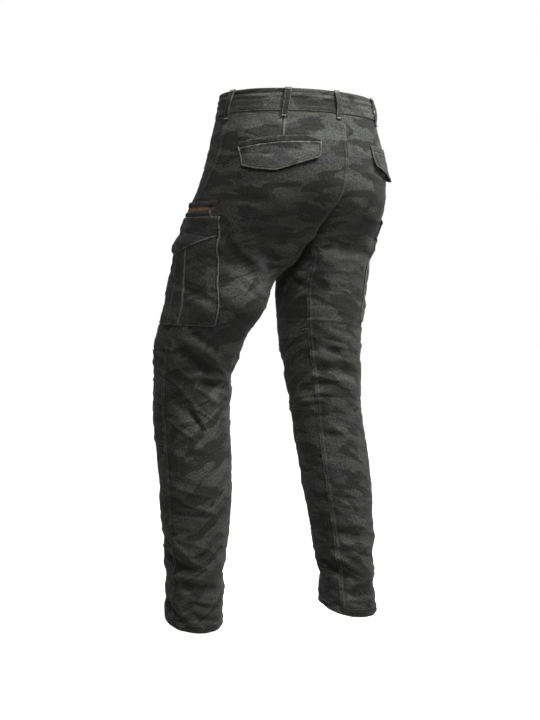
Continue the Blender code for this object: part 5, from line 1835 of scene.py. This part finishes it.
@dataclass
class CargoPocket:
    """Pleated bag on the thigh, and the pointed flap over its mouth."""

    shop: Workshop
    side: Side
    bag_cloth: float = 0.0018
    flap_cloth: float = 0.0022
    pleat_half: float = 0.018
    pleat_rise: float = 0.0014
    bag: tuple[BagRow, ...] = (
        BagRow(-0.2200, 0.079),
        BagRow(-0.2600, 0.086),
        BagRow(-0.3300, 0.089),
        BagRow(-0.4080, 0.093),
    )
    flap_top: float = -0.2135
    crumple: Ripple = Ripple(43, (0.030, 0.030, 0.0075), 0.0012)
    flap_lifts: tuple[LoopRow, ...] = (
        LoopRow(-0.2135, 0.0008),
        LoopRow(-0.2150, 0.0028),
        LoopRow(-0.2170, 0.0038),
        LoopRow(-0.2210, 0.0042),
        LoopRow(-0.2400, 0.0044),
        LoopRow(-0.2800, 0.0052),
    )
    flap: tuple[CargoFlapRow, ...] = (
        CargoFlapRow(-0.088, -0.2560),
        CargoFlapRow(-0.056, -0.2680),
        CargoFlapRow(-0.022, -0.2800),
        CargoFlapRow(0.010, -0.2720),
        CargoFlapRow(0.050, -0.2600),
        CargoFlapRow(0.083, -0.2500),
    )

    def build_bag(self, shift: int) -> None:
        """Make the bag with its box pleat and sew its edges."""
        half = Half(self.side)
        name = self.side.value
        top, bottom = self.bag[0].z, self.bag[-1].z
        heights = top - ticks(top - bottom, 0.0034, TRIM_LINES, TRIM_LINES)
        widest = self.bag[-1].half_width
        outer = ticks(widest - self.pleat_half - 0.003, 0.0032, TRIM_LINES, (0.0, 0.001, 0.002))
        share = 1.0 - outer / widest
        pleat = np.array([0.0195, 0.0188, 0.0180, 0.0170, 0.0160, 0.0130, 0.0090, 0.0045])
        one = np.concatenate([-share, -pleat / widest])
        columns = np.concatenate([one, [0.0], -one[::-1]])
        z, columns = np.meshgrid(heights, columns, indexing="ij")
        half_width = table_value(self.bag, "half_width", "z", z)
        inside_pleat = np.abs(columns) * widest < 0.020
        across = columns * np.where(inside_pleat, widest, half_width)
        phi = half.walk(z, half.side_seam(z), across)
        edge = np.minimum(half_width - np.abs(across), z - bottom)
        full = smoothstep(edge / 0.030)
        below_flap = smoothstep((-0.268 - z) / 0.05)
        raised = smoothstep((self.pleat_half + 0.0012 - np.abs(across)) / 0.0022)
        own = self.pleat_rise * raised * (0.55 + 0.45 * smoothstep((z - bottom) / 0.05))
        own = own + 0.0003 * bell(np.abs(across) - self.pleat_half + 0.0012, 0.0010)
        own = own + 0.0024 * full * below_flap - 0.0009 * bell(across, 0.0035) * raised
        sag = z + 0.35 * across + 0.335
        own = own - 0.0028 * bell(sag, 0.0060) * full * below_flap
        sag = z - 0.55 * across + 0.372
        own = own - 0.0020 * bell(sag, 0.0055) * full * smoothstep((across - 0.015) / 0.02)
        run = np.where(np.abs(across) > half_width - 0.012, z, across)
        own = own + 0.00045 * wander(run, 0.0050, 101 + shift) * bell(edge - 0.004, 0.008)
        own = own + 0.0004 * bell(edge - 0.0012, 0.0014) - 0.0004 * bell(edge - 0.0052, 0.0018)
        lift = 0.0006 + 0.0007 * smoothstep(edge / 0.008)
        bag = Cloth(
            f"sewn_cargo_bag_{name}", half, z, phi, lift, self.bag_cloth, own_relief=own, seed=15 + shift,
            edge_wear=2.3, own_wear_and_shade=1.9 * bell(np.abs(across) - self.pleat_half + 0.0008, 0.0013),
        )
        panels = [f"back_{name}", f"front_upper_{name}"]
        self.shop.deliver(bag, f"cargo_bag_{name}", "laid", panels)
        thread = self.shop.sewing(name)
        for distance in (0.0017, 0.0068):
            thread.row(bag.beside("first", distance, 0.030, distance))
            thread.row(bag.beside("last", distance, 0.030, distance))
            thread.row(bag.beside("bottom", distance, distance, distance))
        rows, count = bag.points.shape[:2]
        middle = (count - 1) // 2
        for column in (middle - 6, middle + 6):
            line = np.full(rows - 12, float(column))
            row = np.arange(rows - 12, dtype=float)
            thread.row(bag.sample(row, line))

    def build_flap(self, shift: int) -> None:
        """Make the flap and sew its edges."""
        half = Half(self.side)
        name = self.side.value
        width = self.flap[-1].across - self.flap[0].across
        across = self.flap[0].across + ticks(width, 0.0028, TRIM_LINES, TRIM_LINES)
        bottom = table_value(self.flap, "bottom", "across", across)
        bottom = np.convolve(np.pad(bottom, 2, mode="edge"), np.ones(5) / 5.0, "valid")
        depth = float((self.flap_top - bottom).max())
        start = (0.0, 0.0006, 0.0014, 0.0024, 0.0036, 0.0050, 0.0070)
        share = ticks(depth, 0.0028, start, TRIM_LINES)[:, None] / depth
        z = self.flap_top * (1.0 - share) + bottom * share
        reach = across + 0.0 * z
        phi = half.walk(z, half.side_seam(z), reach)
        lift = np.interp(-z, [-row.z for row in self.flap_lifts], [row.lift for row in self.flap_lifts])
        near = np.minimum(across - across[0], across[-1] - across)[None, :]
        edge = np.minimum(near, z - bottom)
        own = 0.0004 * bell(edge - 0.0012, 0.0014) - 0.0004 * bell(edge - 0.0044, 0.0018)
        own = own + 0.0004 * wander(reach, 0.0058, 105 + shift) * bell(edge - 0.003, 0.007)
        own = own + 0.0011 * wander(reach, 0.034, 106 + shift) * smoothstep(share)
        own = own + 0.0006 * bell(z - self.flap_top + 0.006, 0.003)
        inside = smoothstep(edge / 0.010)
        points = half.form(z, phi)
        own = own + inside * (self.crumple.at(points) + 0.0006 * wander(z + 0.2 * reach, 0.006, 107 + shift))
        flap = Cloth(
            f"sewn_cargo_flap_{name}", half, z, phi, lift, self.flap_cloth, own_relief=own, seed=16 + shift,
            edge_wear=1.8,
        )
        panels = [f"back_{name}", f"front_upper_{name}"]
        self.shop.deliver(flap, f"cargo_flap_{name}", "laid", [*panels, f"cargo_bag_{name}"])
        thread = self.shop.sewing(name)
        for distance in (0.0018, 0.0070):
            thread.row(flap.beside("bottom", distance, distance, distance))
            thread.row(flap.beside("first", distance, 0.004, distance))
            thread.row(flap.beside("last", distance, 0.004, distance))
        thread.row(flap.beside("top", 0.0065, 0.002, 0.002))

    def build(self) -> None:
        """Make the bag and the flap."""
        shift = 0 if self.side is Side.LEFT else 20
        self.build_bag(shift)
        self.build_flap(shift)


class Lamp(NamedTuple):
    """A soft square lamp; its place is so far towards the camera, to its right and up."""

    name: str
    place: tuple[float, float, float]
    aim_z: float
    size: float
    power: float


@dataclass
class Studio:
    """Pale floor, soft light and the photograph's camera."""

    floor_z: float = -1.100
    toward: tuple[float, float] = (0.669, 0.743)
    distance: float = 2.2
    aside: float = 0.05
    eye_z: float = -0.289
    pitch: float = 4.83
    lens: float = 59.5
    ambient: float = 0.085
    lamps: tuple[Lamp, ...] = (
        Lamp("key", (0.66, 0.92, 1.16), -0.06, 0.50, 50.0),
        Lamp("fill", (1.05, 0.12, 0.60), 0.00, 0.60, 11.5),
        Lamp("front", (-2.6, 0.6, 1.18), -0.42, 1.6, 34.0),
    )

    def light(self, lamp: Lamp, out: Vector, right: Vector, up: Vector) -> None:
        """Place a lamp.

        Args:
            lamp: The lamp.
            out: Direction from the garment towards the camera.
            right: Direction to the camera's right.
            up: Direction up.
        """
        data = bpy.data.lights.new(lamp.name, "AREA")
        data.size = lamp.size
        data.energy = lamp.power
        place = out * lamp.place[0] + right * lamp.place[1] + up * lamp.place[2]
        aim = up * lamp.aim_z
        made = bpy.data.objects.new(lamp.name, data)
        turn = (aim - place).to_track_quat("-Z", "Y").to_matrix().to_4x4()
        made.matrix_world = Matrix.Translation(place) @ turn
        bpy.context.scene.collection.objects.link(made)

    def build(self) -> None:
        """Set up the floor, the world, the lamps and the camera."""
        scene = bpy.context.scene
        floor = bpy.data.meshes.new("floor")
        count, radius = 96, 9.0
        turn = [2.0 * math.pi * k / count for k in range(count)]
        rim = [(radius * math.cos(angle), radius * math.sin(angle), self.floor_z) for angle in turn]
        floor.from_pydata(rim, [], [range(count)])
        pale = Shader("pale_floor")
        grain = pale.noise(pale.node("ShaderNodeTexCoord", "Object"), 3.0, 3.0)
        tone = pale.mix(grain, (0.86, 0.86, 0.86), (0.90, 0.90, 0.90))
        ground = new_object("floor", floor, pale.finish(Base_Color=tone, Roughness=0.9))
        world = bpy.data.worlds.new("studio")
        world.use_nodes = True
        nodes = world.node_tree.nodes
        background = nodes["Background"]
        background.inputs["Color"].default_value = (1.0, 1.0, 1.0, 1.0)
        seen = nodes.new("ShaderNodeLightPath")
        strength = nodes.new("ShaderNodeMapRange")
        strength.inputs["To Min"].default_value = self.ambient
        strength.inputs["To Max"].default_value = 1.0
        world.node_tree.links.new(seen.outputs["Is Camera Ray"], strength.inputs["Value"])
        world.node_tree.links.new(strength.outputs["Result"], background.inputs["Strength"])
        scene.world = world
        scene.view_settings.view_transform = "Standard"
        out = Vector((*self.toward, 0.0))
        right = Vector((-self.toward[1], self.toward[0], 0.0))
        up = Vector((0.0, 0.0, 1.0))
        for lamp in self.lamps:
            self.light(lamp, out, right, up)
        wash = bpy.data.lights.new("floor_wash", "SUN")
        wash.energy = 3.5
        wash.angle = math.radians(60)
        wash.use_shadow = False
        above = bpy.data.objects.new("floor_wash", wash)
        scene.collection.objects.link(above)
        lit = bpy.data.collections.new("floor_lit")
        lit.objects.link(ground)
        above.light_linking.receiver_collection = lit
        ground.visible_diffuse = False
        camera = bpy.data.cameras.new("camera")
        camera.lens = self.lens
        camera.sensor_width = 36.0
        camera.clip_start = 0.05
        eye = bpy.data.objects.new("camera", camera)
        look = -out * math.cos(math.radians(self.pitch)) - up * math.sin(math.radians(self.pitch))
        eye.matrix_world = (
            Matrix.Translation(out * self.distance - right * self.aside + up * self.eye_z)
            @ look.to_track_quat("-Z", "Y").to_matrix().to_4x4()
        )
        scene.collection.objects.link(eye)
        scene.camera = eye


def main() -> None:
    """Build every sub-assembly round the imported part."""
    logging.basicConfig(level=logging.INFO, format="%(name)s: %(message)s")
    Studio().build()
    shop = Workshop()
    for side in Side:
        Leg(shop, side).build()
    Waistband(shop).build()
    Fly(shop).build()
    for side in Side:
        BackPocket(shop, side).build()
        FrontPocket(shop, side).build()
        ZipPocket(shop, side).build()
        CargoPocket(shop, side).build()
    shop.sew_all()
    bpy.context.view_layer.update()


if __name__ == "__main__":
    main()
